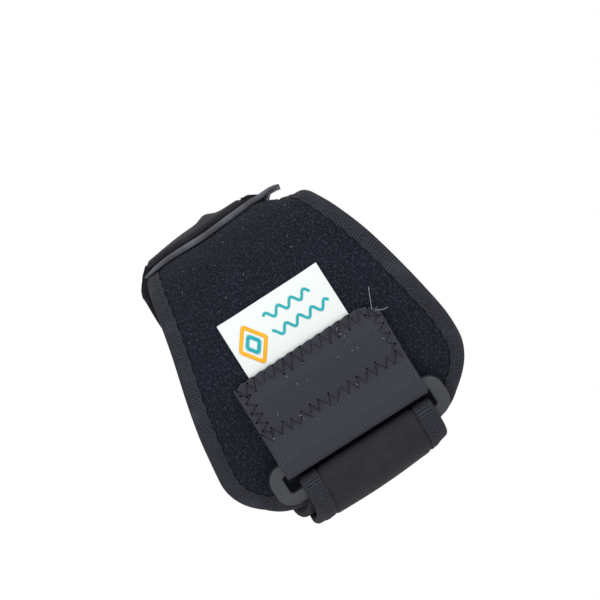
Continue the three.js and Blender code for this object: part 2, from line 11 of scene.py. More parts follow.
import bpy
import numpy as np
from mathutils import Matrix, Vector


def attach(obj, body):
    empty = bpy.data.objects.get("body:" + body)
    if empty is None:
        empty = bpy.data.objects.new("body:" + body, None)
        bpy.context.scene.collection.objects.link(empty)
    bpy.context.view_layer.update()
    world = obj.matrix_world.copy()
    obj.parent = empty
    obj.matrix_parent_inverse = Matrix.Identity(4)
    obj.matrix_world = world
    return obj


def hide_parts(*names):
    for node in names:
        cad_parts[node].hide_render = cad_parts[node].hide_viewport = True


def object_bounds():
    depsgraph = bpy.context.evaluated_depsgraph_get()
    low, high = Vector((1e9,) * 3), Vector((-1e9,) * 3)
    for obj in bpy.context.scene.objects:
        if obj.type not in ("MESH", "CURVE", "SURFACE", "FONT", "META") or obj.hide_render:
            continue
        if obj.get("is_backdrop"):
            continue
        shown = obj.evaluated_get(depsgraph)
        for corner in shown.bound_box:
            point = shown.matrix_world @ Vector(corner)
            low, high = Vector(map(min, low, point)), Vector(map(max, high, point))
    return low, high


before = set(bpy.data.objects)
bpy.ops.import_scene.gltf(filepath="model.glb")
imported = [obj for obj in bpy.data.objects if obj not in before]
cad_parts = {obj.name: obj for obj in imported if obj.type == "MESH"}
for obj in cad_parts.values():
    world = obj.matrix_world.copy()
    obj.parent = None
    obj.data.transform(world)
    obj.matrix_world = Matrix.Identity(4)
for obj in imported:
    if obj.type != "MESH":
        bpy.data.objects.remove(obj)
cad_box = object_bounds()
MM = 0.001
rng = np.random.default_rng(11)
print("CAD box in metres:", [[round(float(c), 4) for c in corner] for corner in cad_box])

# %% [markdown]
# The camera
# The photograph was taken from about a metre away with the picture tilted against the strap's own axis. A
# camera could be aimed with a Track To constraint, but a constraint can't give the tilt. So its three axes
# are written as the columns of a matrix: right, up, and backwards along -Y.

# %% The camera
CAMERA_DISTANCE = 1000
PICTURE_WIDTH = 600 / 2.65  # the picture's pixels, over the pixels that a millimetre takes up
PICTURE_ROLL = math.radians(32.4)
PICTURE_CENTRE = (10.4, 6.2)  # x and z in the middle of the picture

roll_cos = math.cos(PICTURE_ROLL)
roll_sin = math.sin(PICTURE_ROLL)
camera_data = bpy.data.cameras.new("camera")
camera_data.angle = 2 * math.atan(PICTURE_WIDTH / 2 / CAMERA_DISTANCE)
camera_data.clip_start = 0.01
camera = bpy.data.objects.new("camera", camera_data)
bpy.context.collection.objects.link(camera)
camera.matrix_world = Matrix((
    (roll_cos, roll_sin, 0, PICTURE_CENTRE[0] * MM),
    (0, 0, -1, -CAMERA_DISTANCE * MM),
    (-roll_sin, roll_cos, 0, PICTURE_CENTRE[1] * MM),
    (0, 0, 0, 1),
))
bpy.context.scene.camera = camera
print("camera field of view in degrees:", round(math.degrees(camera_data.angle), 2))

# %% [markdown]
# Colours and nodes
# Colours are written as sRGB hex values, as a picture program shows them, and one function turns them to the
# linear values that a renderer adds and multiplies. One more function adds a shader node, sets its options
# and fills its sockets, so that a material below reads as a list of what the surface is made of.

# %% Helpers for colour and nodes
def linear(hex_colour):
    channels = [int(hex_colour[i : i + 2], 16) / 255 for i in (1, 3, 5)]
    bright = [c / 12.92 if c <= 0.04045 else ((c + 0.055) / 1.055) ** 2.4 for c in channels]
    return (*bright, 1.0)


def node(tree, kind, inputs=None, out=0, to=None, **options):
    """Adds a node with its options, and fills or links its inputs. Links one output on, and gives it back."""
    made = tree.nodes.new("ShaderNode" + kind)
    for name, value in options.items():
        setattr(made, name, value)
    for name, value in (inputs or {}).items():
        if isinstance(value, bpy.types.NodeSocket):
            tree.links.new(value, made.inputs[name])
        else:
            made.inputs[name].default_value = value
    if to is not None:
        tree.links.new(made.outputs[out], to)
    return made.outputs[out]


def surface(name, **shader_inputs):
    """A material with its node tree, its shader and the cloth's own coordinates in millimetres."""
    material = bpy.data.materials.new(name)
    material.use_nodes = True
    tree = material.node_tree
    shader = tree.nodes["Principled BSDF"]
    for key, value in shader_inputs.items():
        shader.inputs[key.replace("_", " ")].default_value = value
    flat = node(tree, "UVMap", uv_map="cloth_mm")
    return material, tree, shader, flat


def band_scale(pitch):
    """The Wave node's scale for bands this many millimetres apart."""
    return math.pi / (10 * pitch)


def mottled(name, dark, light, scale, detail=2.0, low=0.0, high=1.0, **shader_inputs):
    """A material whose shade drifts between two colours from place to place."""
    made, tree, shader, flat = surface(name, **shader_inputs)
    drift = node(tree, "TexNoise", {"Vector": flat, "Scale": scale, "Detail": detail})
    share = node(tree, "MapRange", {"Value": drift, 1: low, 2: high})
    tone = {0: share, 6: linear(dark), 7: linear(light)}
    node(tree, "Mix", tone, 2, shader.inputs["Base Color"], data_type="RGBA")
    return made, tree, shader, flat


# %% [markdown]
# Light and floor
# The object is black cloth on a white ground. Black cloth shows its folds only where a broad light glances
# off it, so one large soft panel stands above the camera's left and a weaker one on its right. Faint ones
# behind and below draw the top and the fold. The world is white: it fills the shadows, and the camera sees it
# as the ground. A floor lies well below, because something else holds the strap up.

# %% Light and floor
world = bpy.data.worlds.new("white_studio")
bpy.context.scene.world = world
world.use_nodes = True
sky = world.node_tree
fill_light = sky.nodes["Background"]
fill_light.inputs["Color"].default_value = (1, 1, 1, 1)
fill_light.inputs["Strength"].default_value = 0.52
ground = node(sky, "Background", {"Color": (1, 1, 1, 1), "Strength": 1.0})
seen = node(sky, "LightPath", out="Is Camera Ray")
shown = sky.nodes["World Output"].inputs["Surface"]
node(sky, "MixShader", {0: seen, 1: fill_light.outputs[0], 2: ground}, to=shown)
bpy.context.scene.view_settings.view_transform = "Standard"

LIGHTS = [
    {"name": "key_panel", "at": (-0.35, -0.95, 0.65), "size": 0.8, "watts": 7.6},
    {"name": "side_panel", "at": (0.95, -0.5, 0.35), "size": 0.8, "watts": 5},
    {"name": "back_panel", "at": (0.1, 0.9, 0.7), "size": 0.8, "watts": 2.2},
    {"name": "low_panel", "at": (-0.1, -0.6, -0.36), "size": 0.5, "watts": 0.9},
]
for panel in LIGHTS:
    light = bpy.data.lights.new(panel["name"], "AREA")
    light.size = panel["size"]
    light.energy = panel["watts"]
    lamp = bpy.data.objects.new(panel["name"], light)
    bpy.context.collection.objects.link(lamp)
    lamp.location = panel["at"]
    lamp.rotation_euler = (-lamp.location).to_track_quat("-Z", "Y").to_euler()

FLOOR_HEIGHT = -0.4
FLOOR_HALF = 1.1
corners = [(x, y, FLOOR_HEIGHT) for x, y in ((-1, -1), (1, -1), (1, 1), (-1, 1))]
floor_mesh = bpy.data.meshes.new("studio_floor")
floor_mesh.from_pydata([(x * FLOOR_HALF, y * FLOOR_HALF, z) for x, y, z in corners], [], [(0, 1, 2, 3)])
floor = bpy.data.objects.new("studio_floor", floor_mesh)
bpy.context.collection.objects.link(floor)
floor_paint, _, floor_shader, _ = surface("matt_white_board", Roughness=0.9)
floor_shader.inputs["Base Color"].default_value = linear("#f4f4f4")
floor_mesh.materials.append(floor_paint)
floor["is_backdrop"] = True
print("lights:", len(LIGHTS), "floor at", FLOOR_HEIGHT, "m")

# %% [markdown]
# The shape that every layer follows
# All the soft layers lie on one closed loop: round a cone, down a flat back, round a small fold and up a flat
# front. A point on any layer is then a station along the loop, a height above its hollow and a place across.
# Over the top the layers sink on one side and swell on the other, which the photograph's outline shows. The
# main sizes are the CAD model's own, repeated here because a scene can't read the CAD's source.

# %% The loop
LOOP_RADIUS = 39.5
LOOP_TAPER = 0.05
FRONT_LEAN = math.radians(22)
FRONT_RUN = 39
FOLD_RADIUS = 8
LAYER_GAP = 0.3
SETTLE = 4.1  # how far the layers sink over the top, on the wide side
SETTLE_MORE = 1.6  # and how much farther behind it
SWELL = 1.1  # how far they rise over the top, beside that
SWELL_NARROW = 1.3  # and how much more on the narrow side
TOP = 80  # the station at the top
SINK_ACROSS = (15, 30)  # between these places across, the sinking comes in
SINK_FRONT = (52, 71)  # and between these stations, from the front
SINK_BEHIND = (76, 90)
SINK_FADES = (126, 160)

front_out = np.array([-math.cos(FRONT_LEAN), -math.sin(FRONT_LEAN)])
front_down = np.array([math.sin(FRONT_LEAN), -math.cos(FRONT_LEAN)])
tangent_line = front_out * LOOP_RADIUS


def ramp(value, start, stop):
    t = np.clip((value - start) / (stop - start), 0, 1)
    return t * t * (3 - 2 * t)


def bump(value, middle, reach):
    return np.exp(-(((value - middle) / reach) ** 2))


def mix(a, b, t):
    return a + (b - a) * t


def spread(*values):
    """Numbers and arrays that fit each other, as float arrays of one shape."""
    return np.broadcast_arrays(*(np.asarray(value, float) for value in values))


def wrap_angle(radius):
    return math.pi + 2 * np.arctan((radius - FOLD_RADIUS) / FRONT_RUN)


def settled(station, x):
    """How far the layers sink on the wide side of the top, less how far they rise on its narrow side."""
    where = (1 - ramp(station, *SINK_FADES)) * ramp(x, *SINK_ACROSS)
    sunk = SETTLE * ramp(station, *SINK_FRONT) + SETTLE_MORE * ramp(station, *SINK_BEHIND)
    risen = SWELL * (1 - ramp(x, 14, 24)) + SWELL_NARROW * ramp(-x, 5, 25)
    return sunk * where - risen * bump(station, TOP, 28)


big_arc = LOOP_RADIUS * wrap_angle(LOOP_RADIUS)
fold_arc = FOLD_RADIUS * (2 * math.pi - wrap_angle(LOOP_RADIUS))
loop_length = big_arc + 2 * FRONT_RUN + fold_arc


def loop_point(station, height, x):
    """Points at stations, heights above the hollow and places across, as an array of x, y and z."""
    s, h, x = spread(station, height, x)
    s = np.mod(s, loop_length)
    h = h - settled(s, x)
    radius = LOOP_RADIUS + LOOP_TAPER * x
    wrap = wrap_angle(radius)
    fold_share = (s - big_arc - FRONT_RUN) / fold_arc
    turn = np.where(s <= big_arc, s / big_arc * wrap, wrap)
    turn = np.where(s > big_arc + FRONT_RUN, wrap + fold_share * (2 * math.pi - wrap), turn)
    out = np.stack([-np.cos(turn - FRONT_LEAN), np.sin(turn - FRONT_LEAN)], -1)
    cone = (tangent_line - front_out * radius[..., None]) + out * (radius + h)[..., None]
    back = cone + np.stack([out[..., 1], -out[..., 0]], -1) * (s - big_arc)[..., None]
    fold_centre = tangent_line + front_down * FRONT_RUN - front_out * FOLD_RADIUS
    fold = fold_centre + out * (FOLD_RADIUS + h)[..., None]
    front = tangent_line + front_down * (loop_length - s)[..., None] + front_out * h[..., None]
    stretch = [s <= big_arc, s <= big_arc + FRONT_RUN, s <= loop_length - FRONT_RUN]
    across = np.select([m[..., None] for m in stretch], [cone, back, fold], front)
    return np.concatenate([x[..., None], across], -1)


print("loop length in mm:", round(loop_length, 1))

# %% [markdown]
# How cloth is made here
# Cloth could be a flat grid with a Solidify modifier, but then every edge is cut square. Real cloth, foam and
# webbing have soft edges. So a piece is a grid of middle points with a thickness at each of them, which thins
# to a round at the borders. Both faces come from the middle points and their normals, and the walls between
# them close the mesh. Each point also keeps its place on the flat cloth, in millimetres, for the weave.

# %% Meshes for cloth
def along_with_edges(start, stop, step, edge):
    """Values from start to stop, a step apart, with more of them where the edges round off."""
    inner = np.linspace(start + edge, stop - edge, max(2, round(abs(stop - start - 2 * edge) / step) + 1))
    near = edge * (1 - np.cos(np.linspace(0, math.pi / 2, 4)))[:3]
    return np.concatenate([start + near, inner, stop - near[::-1]])


def soft_edge(distance, radius):
    """Share of the full thickness at a distance from an edge that is rounded off."""
    t = np.clip(distance / radius, 0, 1)
    return np.maximum(np.sqrt(1 - (1 - t) ** 2), 0.16)


def unit(vectors):
    return vectors / np.maximum(np.linalg.norm(vectors, axis=-1, keepdims=True), 1e-12)


def over_surface(place, a, b, height):
    """Points over a surface, and the way out of it at each of them. place(a, b, height) gives its points."""
    points = place(a, b, height)
    return points, unit(place(a, b, height + 1.0) - points)


def normals_of(grid, closed=False):
    joined = np.concatenate([grid[-1:], grid, grid[:1]]) if closed else grid
    along = np.gradient(joined, axis=0)
    return unit(np.cross(np.gradient(grid, axis=1), along[1:-1] if closed else along))


def add_piece(name, points, faces, flat, material, node_name=None):
    """Makes the mesh, gives it its flat coordinates, material and slot, and fixes it to the frame."""
    mesh = bpy.data.meshes.new(name)
    mesh.from_pydata((points * MM).tolist(), [], faces)
    layer = mesh.uv_layers.new(name="cloth_mm")
    corner_vertex = np.empty(len(mesh.loops), int)
    mesh.loops.foreach_get("vertex_index", corner_vertex)
    layer.data.foreach_set("uv", flat[corner_vertex].astype(np.float32).ravel())
    mesh.polygons.foreach_set("use_smooth", [True] * len(mesh.polygons))
    mesh.materials.append(material)
    mesh.update()
    piece = bpy.data.objects.new(name, mesh)
    bpy.context.collection.objects.link(piece)
    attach(piece, "root")
    if node_name:
        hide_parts(node_name)
    return piece


def grid_faces(rows, columns, closed=False):
    """Quads of a grid's outer and inner faces and of the walls that join their borders."""
    outer = np.arange(rows * columns).reshape(rows, columns)
    if closed:
        outer = np.concatenate([outer, outer[:1]])
    inner = outer + rows * columns
    quad = lambda a, b, c, d: np.stack([a.ravel(), b.ravel(), c.ravel(), d.ravel()], 1)
    parts = [
        quad(outer[:-1, :-1], outer[:-1, 1:], outer[1:, 1:], outer[1:, :-1]),
        quad(inner[:-1, :-1], inner[1:, :-1], inner[1:, 1:], inner[:-1, 1:]),
        quad(outer[:-1, 0], outer[1:, 0], inner[1:, 0], inner[:-1, 0]),
        quad(outer[:-1, -1], inner[:-1, -1], inner[1:, -1], outer[1:, -1]),
    ]
    if not closed:
        parts.append(quad(outer[0, :-1], inner[0, :-1], inner[0, 1:], outer[0, 1:]))
        parts.append(quad(outer[-1, :-1], outer[-1, 1:], inner[-1, 1:], inner[-1, :-1]))
    return np.concatenate(parts).tolist()


def cloth(name, outer, inner, flat, material, node_name=None, closed=False):
    """A closed piece of cloth between two grids of points. flat gives its two flat coordinates."""
    points = np.concatenate([outer.reshape(-1, 3), inner.reshape(-1, 3)])
    flat_points = np.stack(np.broadcast_arrays(*flat), -1).reshape(-1, 2)
    faces = grid_faces(*outer.shape[:2], closed)
    return add_piece(name, points, faces, np.concatenate([flat_points] * 2), material, node_name)


# %% [markdown]
# How thread is made here
# A seam shows as short strokes of thread that rise out of one needle hole and dive into the next. A curve
# with a bevel would do for one thread, but a seam has hundreds of strokes. So all the strokes of a seam are
# built at once, as closed tubes in one mesh: a row of centre points for each stroke, and a ring round each.

# %% Meshes for thread
def tubes(name, centres, outward, radius, material, sides=6, taper=0.45, flatness=1.0):
    """Many short tubes in one mesh. centres and outward are arrays of strokes, points and x, y, z."""
    strokes, steps = centres.shape[:2]
    along = unit(np.gradient(centres, axis=1))
    side = unit(np.cross(along, outward))
    lift = np.cross(side, along) * flatness
    angle = np.arange(sides) * 2 * math.pi / sides
    girth = np.full(steps, float(radius))
    girth[[0, -1]] *= taper
    ring = np.cos(angle)[:, None] * side[:, :, None] + np.sin(angle)[:, None] * lift[:, :, None]
    points = centres[:, :, None] + ring * girth[None, :, None, None]
    ids = np.arange(strokes * steps * sides).reshape(strokes, steps, sides)
    around = np.roll(ids, -1, axis=2)
    walls = np.stack([ids[:, :-1], ids[:, 1:], around[:, 1:], around[:, :-1]], -1).reshape(-1, 4)
    faces = walls.tolist() + ids[:, 0].tolist() + ids[:, -1, ::-1].tolist()
    length = np.linalg.norm(np.diff(centres, axis=1), axis=2).cumsum(1)
    length = np.concatenate([np.zeros((strokes, 1)), length], 1) + np.arange(strokes)[:, None] * 3.0
    flat = np.stack(np.broadcast_arrays(length[:, :, None], angle * radius), -1)
    return add_piece(name, points.reshape(-1, 3), faces, flat.reshape(-1, 2), material)


STITCH_RISE = 0.12  # how high a stroke of thread stands over the cloth
STITCH_DIVE = 0.3  # and how deep it goes into its needle holes


def zigzag(place, start, stop, period, low, high, wander=0.12):
    """Strokes of a zigzag seam. place(a, b, height) gives points; a runs along the seam and b across it."""
    count = max(2, round(abs(stop - start) / (period / 2)))
    holes = np.linspace(start, stop, count + 1) + rng.normal(0, wander, count + 1)
    sides = np.where(np.arange(count + 1) % 2 == 0, low, high) + rng.normal(0, wander, count + 1)
    t = np.linspace(0, 1, 7)
    a = mix(holes[:-1, None], holes[1:, None], t)
    b = mix(sides[:-1, None], sides[1:, None], t)
    return over_surface(place, a, b, STITCH_RISE - (STITCH_RISE + STITCH_DIVE) * np.abs(2 * t - 1) ** 4)


# %% [markdown]
# Knitted and woven finishes
# Tape, jersey, webbing and thread are all polyester or polyamide yarn. They differ in how the yarn runs, and
# how far apart. One recipe serves them: ribs one way, courses the other, fine fuzz over both, and slow worn
# patches. The distances are in millimetres on the flat cloth. Yarns nearer than 0.5 mm are drawn about twice
# as coarse as they are, or the picture would lose them.

# %% One recipe for knitted and woven cloth
def knit(name, dark, light, ribs, courses, depth, roughness, turned=0.0, fuzz=0.5, sheen=0.04, gloss=0.12):
    made, tree, shader, flat = surface(
        name, Roughness=roughness, Sheen_Weight=sheen, Sheen_Roughness=0.5, Specular_IOR_Level=gloss
    )
    laid = node(tree, "Mapping", {"Vector": flat, "Rotation": (0, 0, math.radians(turned))})
    rib = node(tree, "TexWave", {"Vector": laid, "Scale": band_scale(ribs), "Distortion": 0},
               bands_direction="Y", out="Fac")
    course = node(tree, "TexWave", {"Vector": laid, "Scale": band_scale(courses), "Distortion": 2.0},
                  bands_direction="X", out="Fac")
    yarn = node(tree, "Math", {0: rib, 1: course}, operation="MULTIPLY")
    hairs = node(tree, "TexNoise", {"Vector": flat, "Scale": 1 / fuzz, "Detail": 3.0})
    wear = node(tree, "TexNoise", {"Vector": flat, "Scale": 1 / 11, "Detail": 2.0})
    lit = node(tree, "Math", {0: yarn, 1: hairs}, operation="MULTIPLY")
    share = node(tree, "MapRange", {"Value": lit, 1: 0.02, 2: 0.45})
    base = node(tree, "Mix", {0: share, 6: linear(dark), 7: linear(light)}, out=2, data_type="RGBA")
    rubbed = node(tree, "MapRange", {"Value": wear, 1: 0.5, 2: 0.8, 4: 0.4})
    worn = {0: rubbed, 6: base, 7: linear(light)}
    node(tree, "Mix", worn, 2, shader.inputs["Base Color"], data_type="RGBA")
    coarse = node(tree, "Bump", {"Height": yarn, "Strength": 0.8, "Distance": depth * MM})
    fine = {"Height": hairs, "Strength": 0.5, "Distance": 0.08 * MM, "Normal": coarse}
    node(tree, "Bump", fine, to=shader.inputs["Normal"])
    return made


# Polyester tape, warp-knitted: matt, with fine cords along it that catch the light. Real cords: 0.35 mm.
binding_tape = knit("knitted_polyester_tape", "#1f2025", "#43464f", 0.62, 0.9, 0.1, 0.9)
# Foam faced with polyester jersey: smoother than the tape and more even in shade, with slanting stitches.
smooth_jersey = knit(
    "polyester_jersey_on_foam", "#222227", "#343539", 0.66, 0.8, 0.06, 0.8, turned=38.0, fuzz=0.4
)
# Spun polyester thread in a seam: a twist every half millimetre, slightly glossier than cloth.
sewing_thread = knit("twisted_polyester_thread", "#202126", "#4c4e57", 0.4, 0.5, 0.05, 0.6, gloss=0.25)
# Bonded thread in the elastic's seams: black and sunk into the webbing. It is painted darker than the
# tapes' thread as painted shade of the grooves it pulls into the webbing.
box_thread = knit("black_thread_with_painted_groove_shade", "#131317", "#2f3035", 0.4, 0.5, 0.05, 0.6, gloss=0.2)
print("cloth recipes:", binding_tape.name, smooth_jersey.name, sewing_thread.name)

# %% [markdown]
# A tape folded round an edge
# The pad's rim and the strap's two edges are finished in the same way: a tape is folded over the raw edge and
# caught by one zigzag seam through both legs. The seam draws the tape in at each needle hole, so its border
# is slightly scalloped and its face is puckered. A swept section could make it, but the puckers need every
# point to move, so it is a grid of cloth whose rows run along the edge and whose columns go round the fold.

# %% Folding a tape
STITCH_PERIOD = 5.5
SCALLOP = 0.2  # how far a seam draws the tape's border in
PUCKER = 0.12  # how far the tape rises and falls along its seam
SEAM_SINK = 0.14  # and how deep the seam lies in it
TAPE_SWELL = 0.07


def fold_tape(name, place, run, rim, thickness, depth, node_name, closed, columns, pull=1.0):
    """place(run, inset, height) gives points on the carrier's edge, from its middle layer."""
    radius = rim / 2 + LAYER_GAP + thickness / 2
    leg = depth - radius - thickness / 2
    width = 2 * leg + math.pi * radius
    section = np.linspace(0, width, columns)
    turn = np.clip((section - leg) / radius, 0, math.pi)
    inset = depth - np.minimum(section, leg) + np.maximum(section - leg - math.pi * radius, 0)
    inset = inset - radius * np.sin(turn)
    height = radius * np.cos(turn)
    length = run[-1] - run[0] + (run[1] - run[0] if closed else 0)
    phase = 2 * math.pi * max(1, round(length / STITCH_PERIOD)) / length * (run[:, None] - run[0])
    scallop = SCALLOP * pull * np.cos(phase) * ramp(inset, 2.5, depth)
    pucker = np.sign(height) * bump(inset, depth * 0.7, 1.5) * (PUCKER * np.cos(2 * phase) - SEAM_SINK) * pull
    swell = np.sign(height) * TAPE_SWELL * pull * np.sin(phase / 2.7)
    middle = place(run[:, None], inset + scallop, height + pucker + swell)
    thick = thickness * soft_edge(np.minimum(section, width - section), 0.35)[None, :, None]
    out = normals_of(middle, closed)
    lifted = place(run, depth, 1.0) - place(run, depth, 0.0)
    facing = np.sign((out[:, 1] * lifted).sum(-1).mean())
    outer, inner = middle + facing * out * thick / 2, middle - facing * out * thick / 2
    if facing < 0:
        outer, inner = inner, outer
    tape = cloth(name, outer, inner, (run[:, None], section), binding_tape, node_name, closed)
    print(name, "tape in mm:", round(width, 1), "by", round(float(length), 1))
    return tape, width, float(length)


# %% [markdown]
# The pad's outline
# The pad is cut like a fan: a broad rounded end below the ring, flanks that draw in, and a narrow end that
# hides under the strap. One half of the outline is a quarter of an ellipse, a Bezier curve and a small arc,
# and the other half is its mirror image. The pad's middle then drifts to the narrow side towards both ends.

# %% The pad's outline
PAD_THICKNESS = 4.2
PAD_RIM = 2.2
PAD_WIDEST = 103.5
PAD_NARROWEST = 60.5
PAD_TAIL = 50
PAD_REACH = 112
PAD_WIDEST_AT = 21
PAD_CENTRE = 2.2
PAD_DRIFT = 4.4  # of its middle, towards the narrow end
PAD_SWING = 2.4  # and towards the broad end
PAD_FLAT_END = 16
PAD_CORNER = 12
PAD_TAPE = 0.8
PAD_TAPE_DEPTH = 6
PAD_MIDDLE = PAD_THICKNESS / 2


def evenly(points, step):
    """The same path with its points a step apart."""
    run = np.concatenate([[0], np.linalg.norm(np.diff(points, axis=0), axis=1).cumsum()])
    places = np.linspace(0, run[-1], max(2, round(run[-1] / step) + 1))
    return np.stack([np.interp(places, run, points[:, k]) for k in range(2)], 1)


def half_outline(step):
    """Stations and half widths from the broad end to the narrow one."""
    wide, narrow, flat = PAD_WIDEST / 2, PAD_NARROWEST / 2, PAD_FLAT_END / 2
    taper = PAD_REACH - PAD_CORNER
    start = -PAD_WIDEST_AT
    turn = np.linspace(0, math.pi / 2, 60)[:, None]
    t = np.linspace(0, 1, 120)[:, None]
    ends = [(start, wide), (taper * 0.14, wide * 0.985), (taper * 0.46, narrow * 1.05), (taper, narrow)]
    a, b, c, d = (np.array(p, float) for p in ends)
    belly_size = np.array([PAD_TAIL - PAD_WIDEST_AT, wide - flat])
    belly = (start, flat) + belly_size * np.concatenate([-np.cos(turn), np.sin(turn)], 1)
    flank = a * (1 - t) ** 3 + 3 * b * t * (1 - t) ** 2 + 3 * c * t**2 * (1 - t) + d * t**3
    corner = (taper, narrow - PAD_CORNER) + PAD_CORNER * np.concatenate([np.sin(turn), np.cos(turn)], 1)
    return evenly(np.concatenate([belly, flank[1:], corner[1:]]), step)


def pad_centre(station):
    return PAD_CENTRE - PAD_DRIFT * ramp(station, 22, 80) - PAD_SWING * ramp(-station, 8, 46)


def pad_point(station, height, across):
    return loop_point(station, height, pad_centre(station) + across)


half = half_outline(0.9)
far_side = half[::-1] * (1, -1)
crossing = lambda start, stop: np.linspace(start, stop, 36)[1:-1]
rim = np.concatenate([half, crossing(half[-1], far_side[0]), far_side, crossing(far_side[-1], half[0])])
rim = evenly(np.concatenate([rim, rim[:1]]), 0.9)[:-1]
rim_step = np.linalg.norm(np.diff(np.concatenate([rim, rim[:1]]), axis=0), axis=1)
rim_length = rim_step.sum()
rim_run = np.concatenate([[0], rim_step.cumsum()])
rim_along = unit(np.roll(rim, -3, axis=0) - np.roll(rim, 3, axis=0))


def rim_point(run, inset, height):
    """Points by the length along the rim, the distance in from it and the height of the layer."""
    run, inset, height = spread(run, inset, height)
    looped = lambda values: np.concatenate([values, values[:1]])
    at = lambda values: np.interp(np.mod(run, rim_length), rim_run, looped(values))
    station = at(rim[:, 0]) + at(rim_along[:, 1]) * inset
    across = at(rim[:, 1]) - at(rim_along[:, 0]) * inset
    return pad_point(station, height, across)


def inset_of(station, across):
    """Distance of points from the rim."""
    places = np.stack([station.ravel(), across.ravel()], 1)[:, None]
    shares = np.array_split(places, 8)
    near = [np.linalg.norm(rim[None] - share, axis=2).min(1) for share in shares]
    return np.concatenate(near).reshape(station.shape)


print("pad rim in mm:", round(rim_length, 1))

# %% [markdown]
# The pad's loop pile
# The pad is polyurethane foam, laminated to a knitted fabric whose brushed loops catch the hooks of the tab.
# To the eye it is a dull, very dark navy with fine speckles where single loops catch the light. A bump map
# alone would leave the outline smooth. So the face itself is pitted at the size of the loops, some thousands
# of single loops stand on it, and the material adds the finest grain. The material also paints those
# speckles into its colour as painted glints.

# %% The pad's material
pile, tree, shader, flat = surface(
    "brushed_loop_pile", Roughness=1.0, Sheen_Weight=0.03, Sheen_Roughness=0.6, Specular_IOR_Level=0.02
)
grainy = {"Vector": flat, "Scale": 1 / 0.9, "Detail": 4.0, "Roughness": 0.7}
grain = node(tree, "TexNoise", grainy)
patches = node(tree, "TexNoise", {"Vector": flat, "Scale": 1 / 14, "Detail": 2.0})
deep, raised = linear("#14161c"), linear("#1c1f28")
dark = node(tree, "Mix", {0: patches, 6: deep, 7: raised}, out=2, data_type="RGBA")
# Painted glints: where the fine grain runs high, the colour turns pale, as where single loops catch the
# light.
painted_glint_share = node(tree, "MapRange", {"Value": grain, 1: 0.52, 2: 0.74})
painted_glint_colours = {0: painted_glint_share, 6: dark, 7: linear("#424656")}
node(tree, "Mix", painted_glint_colours, 2, shader.inputs["Base Color"], data_type="RGBA")
fluff = node(tree, "TexVoronoi", {"Vector": flat, "Scale": 1 / 0.7, "Randomness": 1.0})
node(tree, "Bump", {"Height": fluff, "Strength": 0.6, "Distance": 0.3 * MM}, to=shader.inputs["Normal"])

# %% The pad
PAD_COLUMNS = 110
LOOP_PIT = 0.1
rows_at = half_outline(0.95)
share = np.linspace(-1, 1, PAD_COLUMNS)
foam_edge = PAD_TAPE + LAYER_GAP
outward_y = unit(np.gradient(rows_at, axis=0))
edge_station = rows_at[:, 0] + outward_y[:, 1] * foam_edge
edge_width = np.maximum(rows_at[:, 1] - outward_y[:, 0] * foam_edge, 4)
station = np.broadcast_to(edge_station[:, None], (len(rows_at), PAD_COLUMNS)).copy()
across = edge_width[:, None] * share
inset = inset_of(station, across)
foam_half = mix(PAD_RIM / 2 - 0.1, PAD_MIDDLE, ramp(inset, PAD_TAPE_DEPTH - 0.6, PAD_TAPE_DEPTH + 0.9))
foam_half = foam_half * soft_edge(inset - foam_edge + 0.05, 1.0)
pitted = rng.normal(0, LOOP_PIT, station.shape) * ramp(inset, PAD_TAPE_DEPTH, PAD_TAPE_DEPTH + 1)
dents = 0.12 * np.sin(station / 7.3 + across / 19) * np.sin(across / 8.7 - station / 23)
outer_height = PAD_MIDDLE + foam_half + np.minimum(pitted + dents * ramp(inset, 7, 12), 0.16)
outer = pad_point(station, outer_height, across)
inner = pad_point(station, PAD_MIDDLE - foam_half, across)
pad = cloth("support_pad_foam", outer, inner, (station, across), pile, "support_pad")
print("pad faces:", len(pad.data.polygons), "thickest in mm:", round(float(foam_half.max() * 2), 2))

# %% The loops that stand on the pad
LOOP_COUNT = 5200
LOOP_WIDTH = 1.0
LOOP_HEIGHT = 0.34
LOOP_THREAD = 0.075  # three times as thick as the real filament bundle, so that it shows

room = np.where(inset > PAD_TAPE_DEPTH + 1.2, edge_width[:, None], 0).ravel()
picked = rng.choice(station.size, LOOP_COUNT, replace=False, p=room / room.sum())
loop_station = station.ravel()[picked] + rng.normal(0, 0.4, LOOP_COUNT)
loop_across = across.ravel()[picked] + rng.normal(0, 0.4, LOOP_COUNT)
lie = rng.uniform(0, math.pi, (LOOP_COUNT, 1))
arch = np.linspace(0, math.pi, 5)
reach = -np.cos(arch) * LOOP_WIDTH / 2 * rng.uniform(0.6, 1.2, (LOOP_COUNT, 1))
rise = np.sin(arch) * LOOP_HEIGHT * rng.uniform(0.5, 1.25, (LOOP_COUNT, 1)) - 0.06
over_pile = lambda a, b, height: pad_point(a, PAD_THICKNESS + height, b)
loop_a = loop_station[:, None] + reach * np.cos(lie)
loop_b = loop_across[:, None] + reach * np.sin(lie)
centres, upward = over_surface(over_pile, loop_a, loop_b, rise)
# Polyamide filament: dull and dark, with some loops painted paler than others as painted glints,
# which gives the pile its speckle.
pile_thread = mottled(
    "polyamide_loop_filament_with_painted_glints", "#15171d", "#484c5b", 0.35, 1.0, 0.3, 0.7,
    Roughness=0.7, Specular_IOR_Level=0.15,
)[0]
loops = tubes("pad_standing_loops", centres, upward, LOOP_THREAD, pile_thread, sides=3)
print("standing loops:", LOOP_COUNT, "faces:", len(loops.data.polygons))

# %% [markdown]
# The pad's binding
# The tape round the pad is about 13 mm wide before it is folded. It shows as a smoother, lighter band round
# the dark pile, and its zigzag seam can be counted in the photograph: about 5.5 mm from hole to hole.

